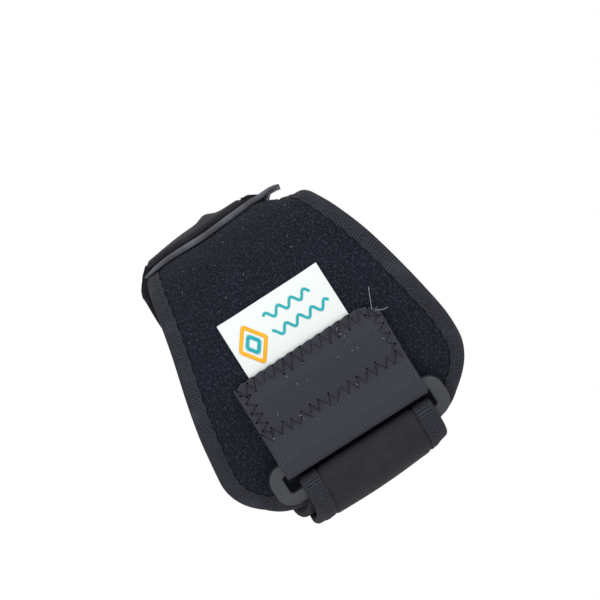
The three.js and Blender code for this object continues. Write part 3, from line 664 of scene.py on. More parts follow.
# %% The pad's binding and seam
pad_edge = lambda run, inset, height: rim_point(run, inset, PAD_MIDDLE + height)
tape_run = np.linspace(0, rim_length, round(rim_length / 0.62), endpoint=False)
rim_tape, tape_width, tape_length = fold_tape(
    "pad_rim_tape", pad_edge, tape_run, PAD_RIM, PAD_TAPE, PAD_TAPE_DEPTH, "pad_binding", True, 34
)
tape_face = PAD_RIM / 2 + LAYER_GAP + PAD_TAPE - 0.1
for side_name, side in {"outer": 1, "inner": -1}.items():
    over = lambda run, inset, lift: pad_edge(run, inset, side * (tape_face + lift))
    strokes, lifted = zigzag(over, 0, rim_length, STITCH_PERIOD, 2.9, 5.6)
    seam = tubes(f"pad_rim_seam_{side_name}", strokes, lifted, 0.17, sewing_thread)
    print(seam.name, "strokes:", len(strokes))

# %% [markdown]
# The strap's route
# One long strap of jersey-faced foam is sewn to the pad's narrow end, runs round the back and under, comes up
# through the ring, turns back over the ring's lower bar, and returns outside itself to the top, where a hook
# tab holds its free end to the pad. A curve could give such a path, but a strap also gathers at the ring and
# buckles at the top. So its middle surface is worked out row by row, and all that belongs to the strap takes
# its place from that one surface.

# %% The strap's sizes
STRAP_WIDTH = 59
STRAP_THICKNESS = 2.6
STRAP_RIM = 1.2
STRAP_TAPE = 0.5
STRAP_TAPE_DEPTH = 7.8
STRAP_SEWN = 18
STRAP_STEP = 14
STRAP_END = 75.5
STRAP_FIRST_CENTRE = -4.5
STRAP_RING_CENTRE = 2.8
STRAP_FOLD_CENTRE = -0.2
STRAP_END_CENTRE = -9.8
STRAP_SWAY = 1.4
STRAP_DROOP = 5.5
STRAP_GATHER = 0.045
STRAP_HANG = 8
STRAP_CORNER = 11
STRAP_CORNER_REACH = 28
STRAP_SLACK = 0.4
TAB_THICKNESS = 2.3
TAB_WIDTH = 61.5
TAB_THINNING = 0.45
TAB_CENTRE = -3.7
TAB_SHOWN = 3
TAB_LIFT = 4.6
RING_GAP = 0.6
RING_BAR = 4.65
RING_SIDE = 5.5
RING_SLOT = 7.7
RING_INSIDE = 62.5
RING_THICKNESS = 2.8
RING_EDGE = 0.8
RING_CORNER = 6.5
RING_CENTRE = 1.3
RING_AT = 24.2
RING_TURN = 0.011  # rise of the plane across the ring: it hangs a little lower on the wide side

strap_half = (STRAP_RIM + 2 * (LAYER_GAP + STRAP_TAPE)) / 2
over_pad = PAD_MIDDLE + PAD_RIM / 2 + LAYER_GAP + PAD_TAPE + LAYER_GAP
ring_middle = over_pad + 2 * strap_half + RING_GAP + RING_THICKNESS / 2
strap_turn = RING_THICKNESS / 2 + RING_GAP + strap_half
strap_pitch = 2 * strap_half + LAYER_GAP + STRAP_SLACK
print("strap layers are", strap_pitch, "mm apart, and the ring's middle is", ring_middle, "mm off the hollow")

# %% Heights of the strap's two layers
def first_layer(station):
    stepped = 1 - ramp(station, PAD_REACH + 2, PAD_REACH + 2 + STRAP_STEP)
    ring_end = loop_length - PAD_TAIL - 2
    return strap_half + over_pad * np.maximum(stepped, ramp(station, ring_end - STRAP_STEP, ring_end))


def tab_thickness(x):
    across = np.clip(2 * (x - TAB_CENTRE) / TAB_WIDTH, -1, 1)
    return TAB_THICKNESS * (1 - TAB_THINNING * across**4)


def wide_end_lift(x):
    return TAB_LIFT * ramp(x, TAB_CENTRE + TAB_WIDTH * 0.31, TAB_CENTRE + TAB_WIDTH * 0.5)


def end_lift(station, x):
    return (1 - ramp(station, STRAP_END - TAB_SHOWN, STRAP_END + STRAP_STEP / 2)) * wide_end_lift(x)


# Buckles behind the free end, where the strap isn't held: place across, height and half width.
BUCKLES = [(-3.2, 1.8, 3.2), (-9, 2.7, 15)]
BUCKLE_BACK = 10  # their distance behind the free end
BUCKLE_REACH = 5.6
PAST_PAD = -30.5  # the narrow side beyond this place across lies past the pad, and hangs
OFF_TAB = 9  # the wide side beyond this one slopes off the tab


def second_layer(station, x):
    on_tab = over_pad + tab_thickness(x) + LAYER_GAP + strap_half
    on_strap = first_layer(np.maximum(station, PAD_REACH - STRAP_SEWN)) + strap_pitch
    tab_start = PAD_REACH - STRAP_SEWN - LAYER_GAP
    height = mix(on_tab, on_strap, ramp(station, tab_start - STRAP_STEP / 2, tab_start))
    for place, rise, reach in BUCKLES:
        height = height + rise * bump(station, STRAP_END + BUCKLE_BACK, BUCKLE_REACH) * bump(x, place, reach)
    past_pad = np.clip((PAST_PAD - x) / 8.5, 0, 1.2) ** 1.5 * (1 - ramp(station, 140, 170))
    off_tab = 2 * np.clip((x - OFF_TAB) / 9, 0, 1) ** 1.5 * (1 - ramp(station, 88, 104))
    pressed = 0.6 * (1 - ramp(station, STRAP_END, STRAP_END + 4.5))
    return height + end_lift(station, x) - STRAP_HANG * past_pad - off_tab - pressed


# %% The strap's middle surface
ROW_STEP = 0.75
STRAP_COLUMNS = 61
FOLD_BELLY = 1.5  # how far the second layer stands off at the fold
FOLD_BELLY_CURVE = 0.0041
FOLD_BELLY_AT = -6.5
turn_at = RING_AT + RING_BAR + RING_SLOT + RING_THICKNESS / 2
sewn_start = PAD_REACH - STRAP_SEWN
ring_stop = loop_length - turn_at
fold_stop = loop_length - FRONT_RUN
fold_start = fold_stop - fold_arc

out_way = np.linspace(sewn_start, ring_stop, round((ring_stop - sewn_start) / ROW_STEP))
turning = np.linspace(0, math.pi, 16)[1:-1]
way_back = np.linspace(ring_stop, STRAP_END, round((ring_stop - STRAP_END) / ROW_STEP))
part_of_way = np.repeat([0, 1, 2], [len(out_way), len(turning), len(way_back)])[:, None]
row_station = np.concatenate([out_way, ring_stop + strap_turn * np.sin(turning), way_back])[:, None]
turn_angle = np.concatenate([0 * out_way, turning, 0 * way_back])[:, None]
towards = np.where(part_of_way == 0, (row_station - sewn_start) / (ring_stop - sewn_start), 1)
past = np.where(part_of_way == 2, (ring_stop - row_station) / (ring_stop - STRAP_END), 0)
off_bar = ramp(past, 0.01, 0.075)
gathered = ramp(towards, 0.88, 1) * (1 - off_bar)
row_centre = mix(STRAP_FIRST_CENTRE, STRAP_RING_CENTRE, ramp(towards, 0.885, 1))
row_centre = mix(row_centre, STRAP_FOLD_CENTRE, off_bar)
row_centre = mix(row_centre, STRAP_END_CENTRE, ramp(past, 0.12, 0.66))
row_centre = row_centre - STRAP_SWAY * bump(past, 0.78, 0.12)
strap_across = np.linspace(-STRAP_WIDTH / 2, STRAP_WIDTH / 2, STRAP_COLUMNS)
strap_x = row_centre + strap_across * (1 - STRAP_GATHER * gathered)

off_ring = ramp(row_station, fold_start, fold_stop)
at_fold = (1 - off_ring) * bump(row_station, fold_start, fold_arc)
belly = FOLD_BELLY - FOLD_BELLY_CURVE * (strap_x - FOLD_BELLY_AT) ** 2
wide_edge = STRAP_FOLD_CENTRE + STRAP_WIDTH / 2
near_edge = np.clip((strap_x - wide_edge + STRAP_TAPE_DEPTH) / STRAP_TAPE_DEPTH, 0, 1) ** 1.4
on_way_back = mix(second_layer(row_station, strap_x), ring_middle + strap_turn, off_ring)
on_way_back = on_way_back + at_fold * (belly - STRAP_DROOP * near_edge)
in_turn = ring_middle - strap_turn * np.cos(turn_angle)
heights = [first_layer(row_station), in_turn, on_way_back]
strap_height = np.select([part_of_way == k for k in range(3)], heights)
strap_middle = loop_point(row_station, strap_height, strap_x)
strap_along = np.gradient(strap_middle, axis=0) * (0, 1, 1)
strap_out = unit(np.stack([0 * strap_x, -strap_along[..., 2], strap_along[..., 1]], -1))
row_gap = np.linalg.norm(np.diff(strap_middle[:, STRAP_COLUMNS // 2], axis=0), axis=1)
strap_run = np.concatenate([[0], row_gap.cumsum()])
strap_length = strap_run[-1]
ring_run = strap_run[len(out_way)]


def between(grid, row, column):
    """Values of a grid at places between its rows and columns."""
    row = np.clip(row, 0, grid.shape[0] - 1.001)
    column = np.clip(column, 0, grid.shape[1] - 1.001)
    i, j = row.astype(int), column.astype(int)
    a, b = (row - i)[..., None], (column - j)[..., None]
    return mix(mix(grid[i, j], grid[i, j + 1], b), mix(grid[i + 1, j], grid[i + 1, j + 1], b), a)


def strap_point(run, across, offset):
    """Points by the length along the strap, the place across it and the distance off its middle."""
    run, across, offset = spread(run, across, offset)
    into_corner = np.clip(np.abs(across) - STRAP_WIDTH / 2 + STRAP_CORNER, 0, STRAP_CORNER - 0.4)
    cut = STRAP_CORNER - np.sqrt(STRAP_CORNER**2 - into_corner**2)
    run = run - cut * ramp(run, strap_length - STRAP_CORNER_REACH, strap_length)
    row = np.interp(run, strap_run, np.arange(len(strap_run)))
    column = (across / STRAP_WIDTH + 0.5) * (STRAP_COLUMNS - 1)
    return between(strap_middle, row, column) + between(strap_out, row, column) * offset[..., None]


print("strap length in mm:", round(float(strap_length), 1), "and to the ring:", round(float(ring_run), 1))

# %% [markdown]
# The strap
# Between its bindings the strap is full thickness, and under them it is squeezed thin. Foam under tension
# never lies dead flat: it swells a little between the seams and ripples across where it bends. Those ripples
# are sums of a few slow waves, not noise, because a real strap's ripples run from edge to edge.

# %% The strap
STRAP_EDGE = STRAP_WIDTH / 2 - STRAP_TAPE - LAYER_GAP
body_across = along_with_edges(-STRAP_EDGE, STRAP_EDGE, 1.35, 0.6)
body_run = along_with_edges(0, strap_length, 1.4, 0.9)
edge_distance = STRAP_EDGE - np.abs(body_across)
tape_border = STRAP_TAPE_DEPTH - STRAP_TAPE - LAYER_GAP
past_tape = ramp(edge_distance, tape_border - 0.3, tape_border + 1.4)
body_half = mix(STRAP_RIM / 2 - 0.03, STRAP_THICKNESS / 2, past_tape)
end_distance = np.minimum(body_run, strap_length - body_run)
body_half = body_half * soft_edge(edge_distance, 0.55) * soft_edge(end_distance, 0.9)[:, None]
run_grid, across_grid = body_run[:, None], body_across[None]
inside_tapes = ramp(edge_distance, tape_border + 1, tape_border + 7)
ripple = 0.1 * np.sin(run_grid / 3.1 + across_grid / 14) * np.sin(run_grid / 17) * inside_tapes
crown = 0.16 * inside_tapes * np.sin(run_grid / 9.5 + 1.2)
middle = strap_point(run_grid, across_grid, (ripple + crown) * 0.5)
thick = strap_point(run_grid, across_grid, 1.0) - strap_point(run_grid, across_grid, 0.0)
thick = thick * body_half[..., None]
strap_flat = (across_grid, run_grid)
strap_body = cloth(
    "wrap_strap_foam", middle + thick, middle - thick, strap_flat, smooth_jersey, "wrap_strap"
)
print("strap faces:", len(strap_body.data.polygons))

# %% The strap's bindings and seams
strap_tape_face = STRAP_RIM / 2 + LAYER_GAP + STRAP_TAPE - 0.08
tape_runs = np.linspace(0, strap_length, round(strap_length / 0.8))
for edge_name, side in {"narrow": -1, "wide": 1}.items():
    strap_edge = lambda run, inset, height: strap_point(run, side * (STRAP_WIDTH / 2 - inset), height)
    edge_tape, width, length = fold_tape(
        f"strap_tape_{edge_name}", strap_edge, tape_runs, STRAP_RIM, STRAP_TAPE, STRAP_TAPE_DEPTH,
        f"strap_binding_{edge_name}", False, 28, pull=0.7,
    )
    for face_name, face in {"one": 1, "other": -1}.items():
        over = lambda run, inset, lift: strap_edge(run, inset, face * (strap_tape_face + lift))
        strokes, lifted = zigzag(over, 1, strap_length - 1, STITCH_PERIOD, 3.2, 6.6)
        tubes(f"strap_seam_{edge_name}_{face_name}", strokes, lifted, 0.15, sewing_thread)
    print("seams on the", edge_name, "edge: 2")

# %% [markdown]
# The hook tab
# Under the strap's free end a sheet of moulded polyamide hooks is sewn. Its front edge shows as a smooth grey
# strip, thinner towards its tips, and its hooks stand in rows on its underside and grip the pad's loops. The
# plate is a closed grid. Each hook is a short bent tube.

# %% The hook tab
# Moulded polyamide: half glossy, milky in places, with drawn lines along it that catch the light.
hook_plastic, tree, shader, flat = mottled(
    "moulded_polyamide_hook_sheet", "#424248", "#575c66", 1 / 9, low=0.35, high=0.65,
    Roughness=0.5, Specular_IOR_Level=0.4,
)
drawn = node(tree, "TexWave", {"Vector": flat, "Scale": band_scale(0.5), "Distortion": 0.3},
             bands_direction="Y", out="Fac")
node(tree, "Bump", {"Height": drawn, "Strength": 0.35, "Distance": 0.05 * MM}, to=shader.inputs["Normal"])

tab_start = STRAP_END - TAB_SHOWN
tab_stop = sewn_start - LAYER_GAP - 1
tab_rows = along_with_edges(tab_start, tab_stop, 1.2, 0.7)[:, None]
tab_share = np.linspace(-1, 1, 90)[None]
tab_cut = 2.6 * (1 - ramp(tab_rows, tab_start, tab_start + 3.2)) * np.abs(tab_share) ** 8
tab_station = tab_rows + 0 * tab_share
tab_x = TAB_CENTRE + (TAB_WIDTH / 2 - tab_cut) * tab_share


TAB_LEVEL_FROM = 77  # the station at which the sheet stops bending
TOP_RADIUS = 37


def tab_bottom(station, x):
    """The sheet is stiff: past the strap's edge it goes on straight, instead of bending over the top."""
    level = np.maximum(station - TAB_LEVEL_FROM, 0) ** 2 / (2 * TOP_RADIUS)
    level = level + SETTLE_MORE * ramp(station, *SINK_BEHIND)
    return over_pad + mix(end_lift(station, x), wide_end_lift(x) + level, ramp(x, 17.5, 23))


tab_low = tab_bottom(tab_station, tab_x)
tips = 1 - 0.45 * np.abs(tab_share) ** 14
tab_lip = 0.25 * (1 - ramp(tab_rows, tab_start + 1.2, tab_start + 2.8))
tab_thick = (tab_thickness(tab_x) + tab_lip) * tips - 0.06
front_round = mix(0.3, 1, soft_edge(tab_rows - tab_start, 0.55))
tab_mid = tab_low + tab_thick / 2 + 0.03
tab_outer = loop_point(tab_station, tab_mid + tab_thick / 2 * front_round, tab_x)
tab_inner = loop_point(tab_station, tab_mid - tab_thick / 2 * front_round, tab_x)
cloth("hook_tab_plate", tab_outer, tab_inner, (tab_x, tab_rows), hook_plastic, "hook_tab")

HOOK_PITCH = 1.1
HOOK_BEND = 2.2  # how far round a hook bends, in radians
hook_rows = np.arange(tab_start + 0.7, tab_start + 8, HOOK_PITCH)
hook_s, hook_x = np.meshgrid(hook_rows, np.arange(-33.2, 25.6, HOOK_PITCH))
hook_s = hook_s.ravel()[:, None] + rng.normal(0, 0.06, (hook_s.size, 1))
hook_x = hook_x.ravel()[:, None] + rng.normal(0, 0.06, (hook_x.size, 1))
bend = np.linspace(0, 1, 5) * HOOK_BEND
hook_height = tab_bottom(hook_s, hook_x) + 0.15 - 0.62 * np.sin(bend)
centres = loop_point(hook_s + 0.45 * (1 - np.cos(bend)) * 0.7, hook_height, hook_x)
tubes("hook_tab_hooks", centres, (1.0, 0, 0), 0.13, hook_plastic, sides=5, taper=0.8)
print("hooks:", len(centres))

# %% [markdown]
# The elastic
# A ribbed elastic webbing 60 mm wide goes round the ring's upper bar, and a box of zigzag stitches sews both
# its ends to the pad. Rubber threads run along it, and the polyester weft over them stands up in cross ribs
# that lie parallel to the ring. Inside the sewn box the ribs are pressed flat. Ribs as a bump would vanish at
# the fold's outline, so they are real: four rows of points a rib.

# %% The elastic's material
RIB_PITCH = 0.75
webbing, tree, shader, flat = surface(
    "ribbed_polyester_elastic", Roughness=0.85,
    Sheen_Weight=0.04, Sheen_Roughness=0.5, Specular_IOR_Level=0.12,
)
ribs = node(tree, "TexWave", {"Vector": flat, "Scale": band_scale(RIB_PITCH), "Distortion": 0},
            bands_direction="Y", out="Fac")
warp = node(tree, "TexWave", {"Vector": flat, "Scale": band_scale(0.6), "Distortion": 1.2},
            bands_direction="X", out="Fac")
hairy = {"Vector": flat, "Scale": 1 / 0.45, "Detail": 3.0, "Roughness": 0.7}
hairs = node(tree, "TexNoise", hairy)
run_along = node(tree, "SeparateXYZ", {0: flat}, "Y")
off_patch = node(tree, "MapRange", {"Value": run_along, 1: 21.0, 2: 24.5, 3: 0.85, 4: 1.0})
yarn = node(tree, "Math", {0: ribs, 1: off_patch}, operation="MULTIPLY")
lit = node(tree, "Math", {0: yarn, 1: warp}, operation="MULTIPLY")
lit_share = node(tree, "MapRange", {"Value": lit, 1: 0.0, 2: 0.7})
groove, crest = linear("#292a30"), linear("#4a4b55")
base = node(tree, "Mix", {0: lit_share, 6: groove, 7: crest}, out=2, data_type="RGBA")
specks = node(tree, "MapRange", {"Value": hairs, 1: 0.6, 2: 0.78, 4: 0.55})
fuzzed = {0: specks, 6: base, 7: linear("#5c5e69")}
node(tree, "Mix", fuzzed, 2, shader.inputs["Base Color"], data_type="RGBA")
coarse = node(tree, "Bump", {"Height": warp, "Strength": 0.5, "Distance": 0.06 * MM})
fine = {"Height": hairs, "Strength": 0.6, "Distance": 0.1 * MM, "Normal": coarse}
node(tree, "Bump", fine, to=shader.inputs["Normal"])

# %% The elastic's route
ELASTIC_WIDTH = 60.5
ELASTIC_THICKNESS = 1.3
ELASTIC_TOP = 8.5
ELASTIC_SEWN = 24
ELASTIC_SKEW = 0.8
ELASTIC_CENTRE = 1.8
LABEL_TUCK = 5.2
LABEL_THICKNESS = 0.5
TUCK_STEP = 3

elastic_turn = RING_THICKNESS / 2 + RING_GAP + ELASTIC_THICKNESS / 2
elastic_turn_at = RING_AT + RING_BAR - RING_THICKNESS / 2
lower_height = over_pad + ELASTIC_THICKNESS / 2
upper_height = lower_height + ELASTIC_THICKNESS + LAYER_GAP
on_label = PAD_THICKNESS + 2 * LAYER_GAP + LABEL_THICKNESS + ELASTIC_THICKNESS / 2
tuck = ELASTIC_TOP - LABEL_TUCK
sewn_end = ELASTIC_TOP - ELASTIC_SEWN
bar_edge = RING_AT - RING_GAP
rib_step = RIB_PITCH / 4

down = np.linspace(ELASTIC_TOP, -elastic_turn_at, 200)
sewn = mix(max(upper_height, on_label), min(upper_height, on_label), ramp(down, tuck - TUCK_STEP, tuck))
down_height = mix(sewn, ring_middle + elastic_turn, ramp(-down, -sewn_end, bar_edge))
round_bar = np.linspace(0, math.pi, 24)[1:-1]
up = np.linspace(-elastic_turn_at, tuck - 1, 160)
up_height = mix(lower_height, ring_middle - elastic_turn, ramp(-up, -sewn_end, bar_edge))
route_station = np.concatenate([down, -elastic_turn_at - elastic_turn * np.sin(round_bar), up])
route_height = np.concatenate([down_height, ring_middle + elastic_turn * np.cos(round_bar), up_height])
route_points = loop_point(route_station, route_height, 0)
route_run = np.concatenate([[0], np.linalg.norm(np.diff(route_points, axis=0), axis=1).cumsum()])
elastic_run = np.arange(0, route_run[-1], rib_step)
lowest = route_station.min()


def elastic_point(run, across, offset):
    """Points by the length along the elastic, the place across it and the distance off its middle."""
    run, across, offset = spread(run, across, offset)
    at = lambda r: (np.interp(r, route_run, route_station), np.interp(r, route_run, route_height))
    x = ELASTIC_CENTRE + ELASTIC_SKEW * (at(run)[0] - lowest) / (ELASTIC_TOP - lowest) + across
    along = loop_point(*at(run + 0.3), x) - loop_point(*at(run - 0.3), x)
    out = unit(np.stack([0 * x, along[..., 2], -along[..., 1]], -1))
    return loop_point(*at(run), x) + out * offset[..., None]


print("elastic length in mm:", round(float(route_run[-1]), 1))

# %% The elastic
SCALLOP_PITCH = 4.1
BOX_LOW = 21.1  # run at which the box's lower seam starts


def edge_shift(run, across):
    """How far the sewn edge is drawn down, between the stitches and at its two corners."""
    scallop = 0.3 * np.cos(2 * math.pi * across / SCALLOP_PITCH) * (1 - ramp(run, 0, 3.5))
    corners = 3.2 * ramp(across, 23, ELASTIC_WIDTH / 2) + 0.9 * ramp(-across, 25, ELASTIC_WIDTH / 2)
    return scallop + corners * (1 - ramp(run, 0, 9))


elastic_across = along_with_edges(-ELASTIC_WIDTH / 2, ELASTIC_WIDTH / 2, 1.0, 0.5)[None]
run_grid = elastic_run[:, None]
patch = 1 - ramp(run_grid, BOX_LOW, BOX_LOW + 4)
rib = 0.5 - 0.5 * np.cos(2 * math.pi * run_grid / RIB_PITCH)
rib_height = rib * mix(0.13, 0.03, patch)
from_end = np.minimum(run_grid, elastic_run[-1] - run_grid)
from_side = ELASTIC_WIDTH / 2 - np.abs(elastic_across)
half_thick = ELASTIC_THICKNESS / 2 * soft_edge(from_end, 0.5) * soft_edge(from_side, 0.45)
scalloped = edge_shift(run_grid, elastic_across)
sewn_in = -0.22 * (bump(run_grid, 2.6, 1.6) + bump(run_grid, BOX_LOW + 2, 1.8)) * ramp(from_side, 0, 1.5)
edge_dip = -0.18 * bump(from_side, 2.2, 1.4) * patch
wave = 0.1 * np.sin(elastic_across / 3.3 + 0.4) * patch
outside_shape = half_thick + rib_height - 0.1 + sewn_in + edge_dip + wave
outer = elastic_point(run_grid + scalloped, elastic_across, outside_shape)
inner = elastic_point(run_grid + scalloped, elastic_across, -half_thick + 0 * run_grid)
elastic_flat = (elastic_across, run_grid)
elastic = cloth("elastic_webbing", inner, outer, elastic_flat, webbing, "elastic_loop")
print("elastic faces:", len(elastic.data.polygons), "ribs:", round(float(elastic_run[-1] / RIB_PITCH)))

# %% The zigzag box that holds the elastic
BOX_SIDES = (3.5, 22)  # where the box's side seams start and stop
# NEEDLE_HOLE is the radius of the black disc of painted shade at each needle hole.
NEEDLE_HOLE = 0.36  # radius
sewn_face = ELASTIC_THICKNESS / 2 - 0.12
half_box = ELASTIC_WIDTH / 2
along_x = lambda a, b, lift: elastic_point(b + edge_shift(b, a), a, sewn_face + lift)
along_run = lambda a, b, lift: elastic_point(a + edge_shift(a, b), b, sewn_face + lift)
box_seams = {
    "top": zigzag(along_x, -half_box + 1, half_box - 1, SCALLOP_PITCH, 0.5, 5.4, wander=0.25),
    "low": zigzag(along_x, -half_box + 1, half_box - 1, SCALLOP_PITCH, BOX_LOW, BOX_LOW + 4.3, wander=0.3),
    "wide": zigzag(along_run, *BOX_SIDES, SCALLOP_PITCH, half_box - 4.8, half_box - 1.4, wander=0.3),
    "narrow": zigzag(along_run, *BOX_SIDES, SCALLOP_PITCH, 1.4 - half_box, 4.6 - half_box, wander=0.3),
}
# Painted shade of a needle hole: a black disc without gloss, so that each hole reads as a dot.
needle_hole_painted_shade = mottled(
    "needle_hole_shadow", "#040405", "#0a0a0c", 2.0, Roughness=1.0, Specular_IOR_Level=0.0
)[0]
for seam_name, (strokes, lifted) in box_seams.items():
    tubes(f"elastic_seam_{seam_name}", strokes, lifted, 0.17, box_thread)
    # At each needle hole a short flat disc of painted shade lies on the webbing.
    hole = strokes[:, 0] + lifted[:, 0] * 0.36
    stub = hole[:, None] + lifted[:, :1] * np.array([-0.25, 0.0])[None, :, None]
    tubes(f"painted_needle_hole_shade_{seam_name}", stub, (1.0, 0, 0), NEEDLE_HOLE, needle_hole_painted_shade, 8, 1.0)
    print("elastic seam", seam_name, "strokes:", len(strokes))

# %% [markdown]
# The label
# A small label of woven satin lies on the pad, its lower edge caught under the elastic. It is white, with a
# soft lustre along the weave. It carries no name: only a plain motif of waves and lozenges in teal and amber,
# as satin stitches, so that the place is as lively as a real label. Each stitch is a flattened thread.

# %% The label
LABEL_WIDTH = 42.8
LABEL_TOP = 28.1
LABEL_CENTRE = 1.1
LABEL_TURN = 0.031  # it is sewn on a little turned, so its wide side sits lower

satin, tree, shader, flat = surface(
    "woven_polyester_satin", Roughness=0.42, Sheen_Weight=0.1, Sheen_Roughness=0.4, Specular_IOR_Level=0.45
)
turned = node(tree, "Mapping", {"Vector": flat, "Rotation": (0, 0, math.radians(62))})
twill = node(tree, "TexWave", {"Vector": turned, "Scale": band_scale(0.6), "Distortion": 0.4}, "Fac")
picks = node(tree, "TexWave", {"Vector": flat, "Scale": band_scale(0.5), "Distortion": 0.3},
             bands_direction="Y", out="Fac")
soil = node(tree, "TexNoise", {"Vector": flat, "Scale": 1 / 8, "Detail": 3.0})
weave = node(tree, "Math", {0: twill, 1: picks}, operation="MULTIPLY")
weave_share = node(tree, "MapRange", {"Value": weave, 1: 0.0, 2: 0.8})
white = {0: weave_share, 6: linear("#d3d9d7"), 7: linear("#eef2f0")}
base = node(tree, "Mix", white, 2, data_type="RGBA")
soiled = node(tree, "MapRange", {"Value": soil, 1: 0.5, 2: 0.8, 4: 0.3})
handled = {0: soiled, 6: base, 7: linear("#d6dcdc")}
node(tree, "Mix", handled, 2, shader.inputs["Base Color"], data_type="RGBA")
node(tree, "Bump", {"Height": weave, "Strength": 0.5, "Distance": 0.05 * MM}, to=shader.inputs["Normal"])

label_low = PAD_THICKNESS + LAYER_GAP
label_tall = LABEL_TOP - tuck


def label_point(u, v, lift):
    """u across from the label's middle, v up from its lower edge, both in millimetres."""
    u, v, lift = spread(u, v, lift)
    corner = 0.45 * ramp(np.abs(u), LABEL_WIDTH * 0.3, LABEL_WIDTH / 2)
    corner = corner * ramp(v, label_tall * 0.6, label_tall)
    soft = 0.1 * np.sin(u / 6.5 + v / 9) * ramp(v, 4, 9)
    return loop_point(tuck + v - LABEL_TURN * u, label_low + corner + soft + lift, LABEL_CENTRE + u)


label_u = along_with_edges(-LABEL_WIDTH / 2, LABEL_WIDTH / 2, 0.7, 0.25)[None]
label_v = along_with_edges(0, label_tall, 0.7, 0.25)[:, None]
label_rim = np.minimum(LABEL_WIDTH / 2 - np.abs(label_u), np.minimum(label_v, label_tall - label_v))
label_half = (LABEL_THICKNESS / 2 - 0.05) * soft_edge(label_rim, 0.22)
label_outer = label_point(label_u, label_v, LABEL_THICKNESS / 2 + label_half)
label_inner = label_point(label_u, label_v, LABEL_THICKNESS / 2 - label_half)
label = cloth("woven_label", label_outer, label_inner, (label_u, label_v), satin, "sewn_label")
print("label in mm:", LABEL_WIDTH, "by", label_tall)

# %% The label's motif
STITCH_GAP = 0.3
# Embroidery floss: parallel polyester filaments, slightly glossy, so that the motif shines like thread.
floss_gloss = {"Roughness": 0.45, "Specular_IOR_Level": 0.4}
teal = mottled("teal_polyester_floss", "#0c9fa6", "#19bcc4", 1 / 0.8, **floss_gloss)[0]
amber = mottled("amber_polyester_floss", "#eda500", "#ffc414", 1 / 0.8, **floss_gloss)[0]


def satin_stitches(name, path, width, material):
    """Stitches across a band that follows a path of u and v on the label."""
    path = evenly(np.asarray(path, float), STITCH_GAP)
    heading = unit(np.gradient(path, axis=0))
    normal = np.stack([-heading[:, 1], heading[:, 0]], -1)
    reach = np.linspace(-0.5, 0.5, 5)[None, :, None] * width
    spots = path[:, None] + normal[:, None] * reach
    lift = LABEL_THICKNESS - 0.06 + 0.16 * (1 - np.abs(np.linspace(-1, 1, 5)) ** 3)
    centres, outward = over_surface(label_point, spots[..., 0], spots[..., 1], lift)
    return tubes(name, centres, outward, STITCH_GAP * 0.6, material, 5, 0.5, 0.5)


WAVE_START = -5
WAVES = [(18.6, 0.82), (12.4, 1.0)]  # the height of each wave on the label, and its share of the full length
wave_u = np.linspace(WAVE_START, 18, 120)
for row, (base_v, long) in enumerate(WAVES):
    u = WAVE_START + (wave_u - WAVE_START) * long
    satin_stitches(f"label_wave_{row}", np.stack([u, base_v + 1.3 * np.sin(u * 1.15 + row)], -1), 1.1, teal)
LOZENGE_AT = np.array([-13.5, 13.2])
lozenge = np.array([(1, 0), (0, 1.25), (-1, 0), (0, -1.25), (1, 0)])
for size, floss_used in ((5.4, amber), (2.6, teal)):
    path = LOZENGE_AT + lozenge * size
    satin_stitches(f"label_lozenge_{round(size * 10)}", path, 1.5, floss_used)
print("label motif: 2 waves and 2 lozenges")

# %% [markdown]
# The ring
# The ring is moulded in one piece of acetal or nylon, with a satin face. All its corners are rounded, and a
# fine chamfer runs along its outer edge and catches the light. It could be a curve with a bevel, but its bars
# change width at the corners. So each cross section is laid between matching points of its outer and inner
# outlines, and its corners are rounded in the section itself.

# %% The ring
# Acetal: satin black, with slow flow marks and a fine grain that breaks up its gloss.
ring_plastic, tree, shader, flat = mottled(
    "moulded_acetal", "#2a2c32", "#33363b", 1 / 12, 3.0, 0.3, 0.7,
    Roughness=0.42, IOR=1.48, Specular_IOR_Level=0.5,
)
sparkle = node(tree, "TexNoise", {"Vector": flat, "Scale": 1 / 0.35, "Detail": 2.0})
node(tree, "MapRange", {"Value": sparkle, 3: 0.36, 4: 0.52}, to=shader.inputs["Roughness"])
node(tree, "Bump", {"Height": sparkle, "Strength": 0.25, "Distance": 0.03 * MM}, to=shader.inputs["Normal"])


def rounded_rectangle(width, height, corner):
    """Points of a rounded rectangle, in matching order for any size: right side, top, left, bottom."""
    middles = np.array([(1, 1), (-1, 1), (-1, -1), (1, -1)]) * (width / 2 - corner, height / 2 - corner)
    turns = np.arange(4)[:, None] * math.pi / 2 + np.linspace(0, math.pi / 2, 14)
    arcs = middles[:, None] + corner * np.stack([np.cos(turns), np.sin(turns)], -1)
    points = []
    for arc, following, steps in zip(arcs, np.roll(arcs, -1, axis=0), (16, 4, 16, 4)):
        points += [arc, np.linspace(arc[-1], following[0], steps + 1)[1:-1]]
    return np.concatenate(points)


ring_height = 2 * RING_BAR + RING_SLOT
outer_line = rounded_rectangle(RING_INSIDE + 2 * RING_SIDE, ring_height, RING_CORNER)
inner_line = rounded_rectangle(RING_INSIDE, RING_SLOT, RING_EDGE * 1.5)
around = np.linspace(0, 2 * math.pi, 40, endpoint=False)
squared = lambda value: np.sign(value) * np.abs(value) ** 0.42
share_in = (0.5 - 0.5 * squared(np.cos(around)))[None, :, None]
plan = mix(outer_line[:, None], inner_line[:, None], share_in)
ring_lift = ring_middle + RING_THICKNESS / 2 * squared(np.sin(around))[None] + 0 * plan[..., 0]
ring_down = (RING_AT + ring_height / 2 - plan[..., 1] + RING_TURN * plan[..., 0])[..., None]
ring_plane = tangent_line + front_down * ring_down + front_out * ring_lift[..., None]
ring_points = np.concatenate([RING_CENTRE + plan[..., :1], ring_plane], -1)
rows, columns = ring_lift.shape
ids = np.arange(rows * columns).reshape(rows, columns)
next_row, next_column = np.roll(ids, -1, axis=0), np.roll(ids, -1, axis=1)
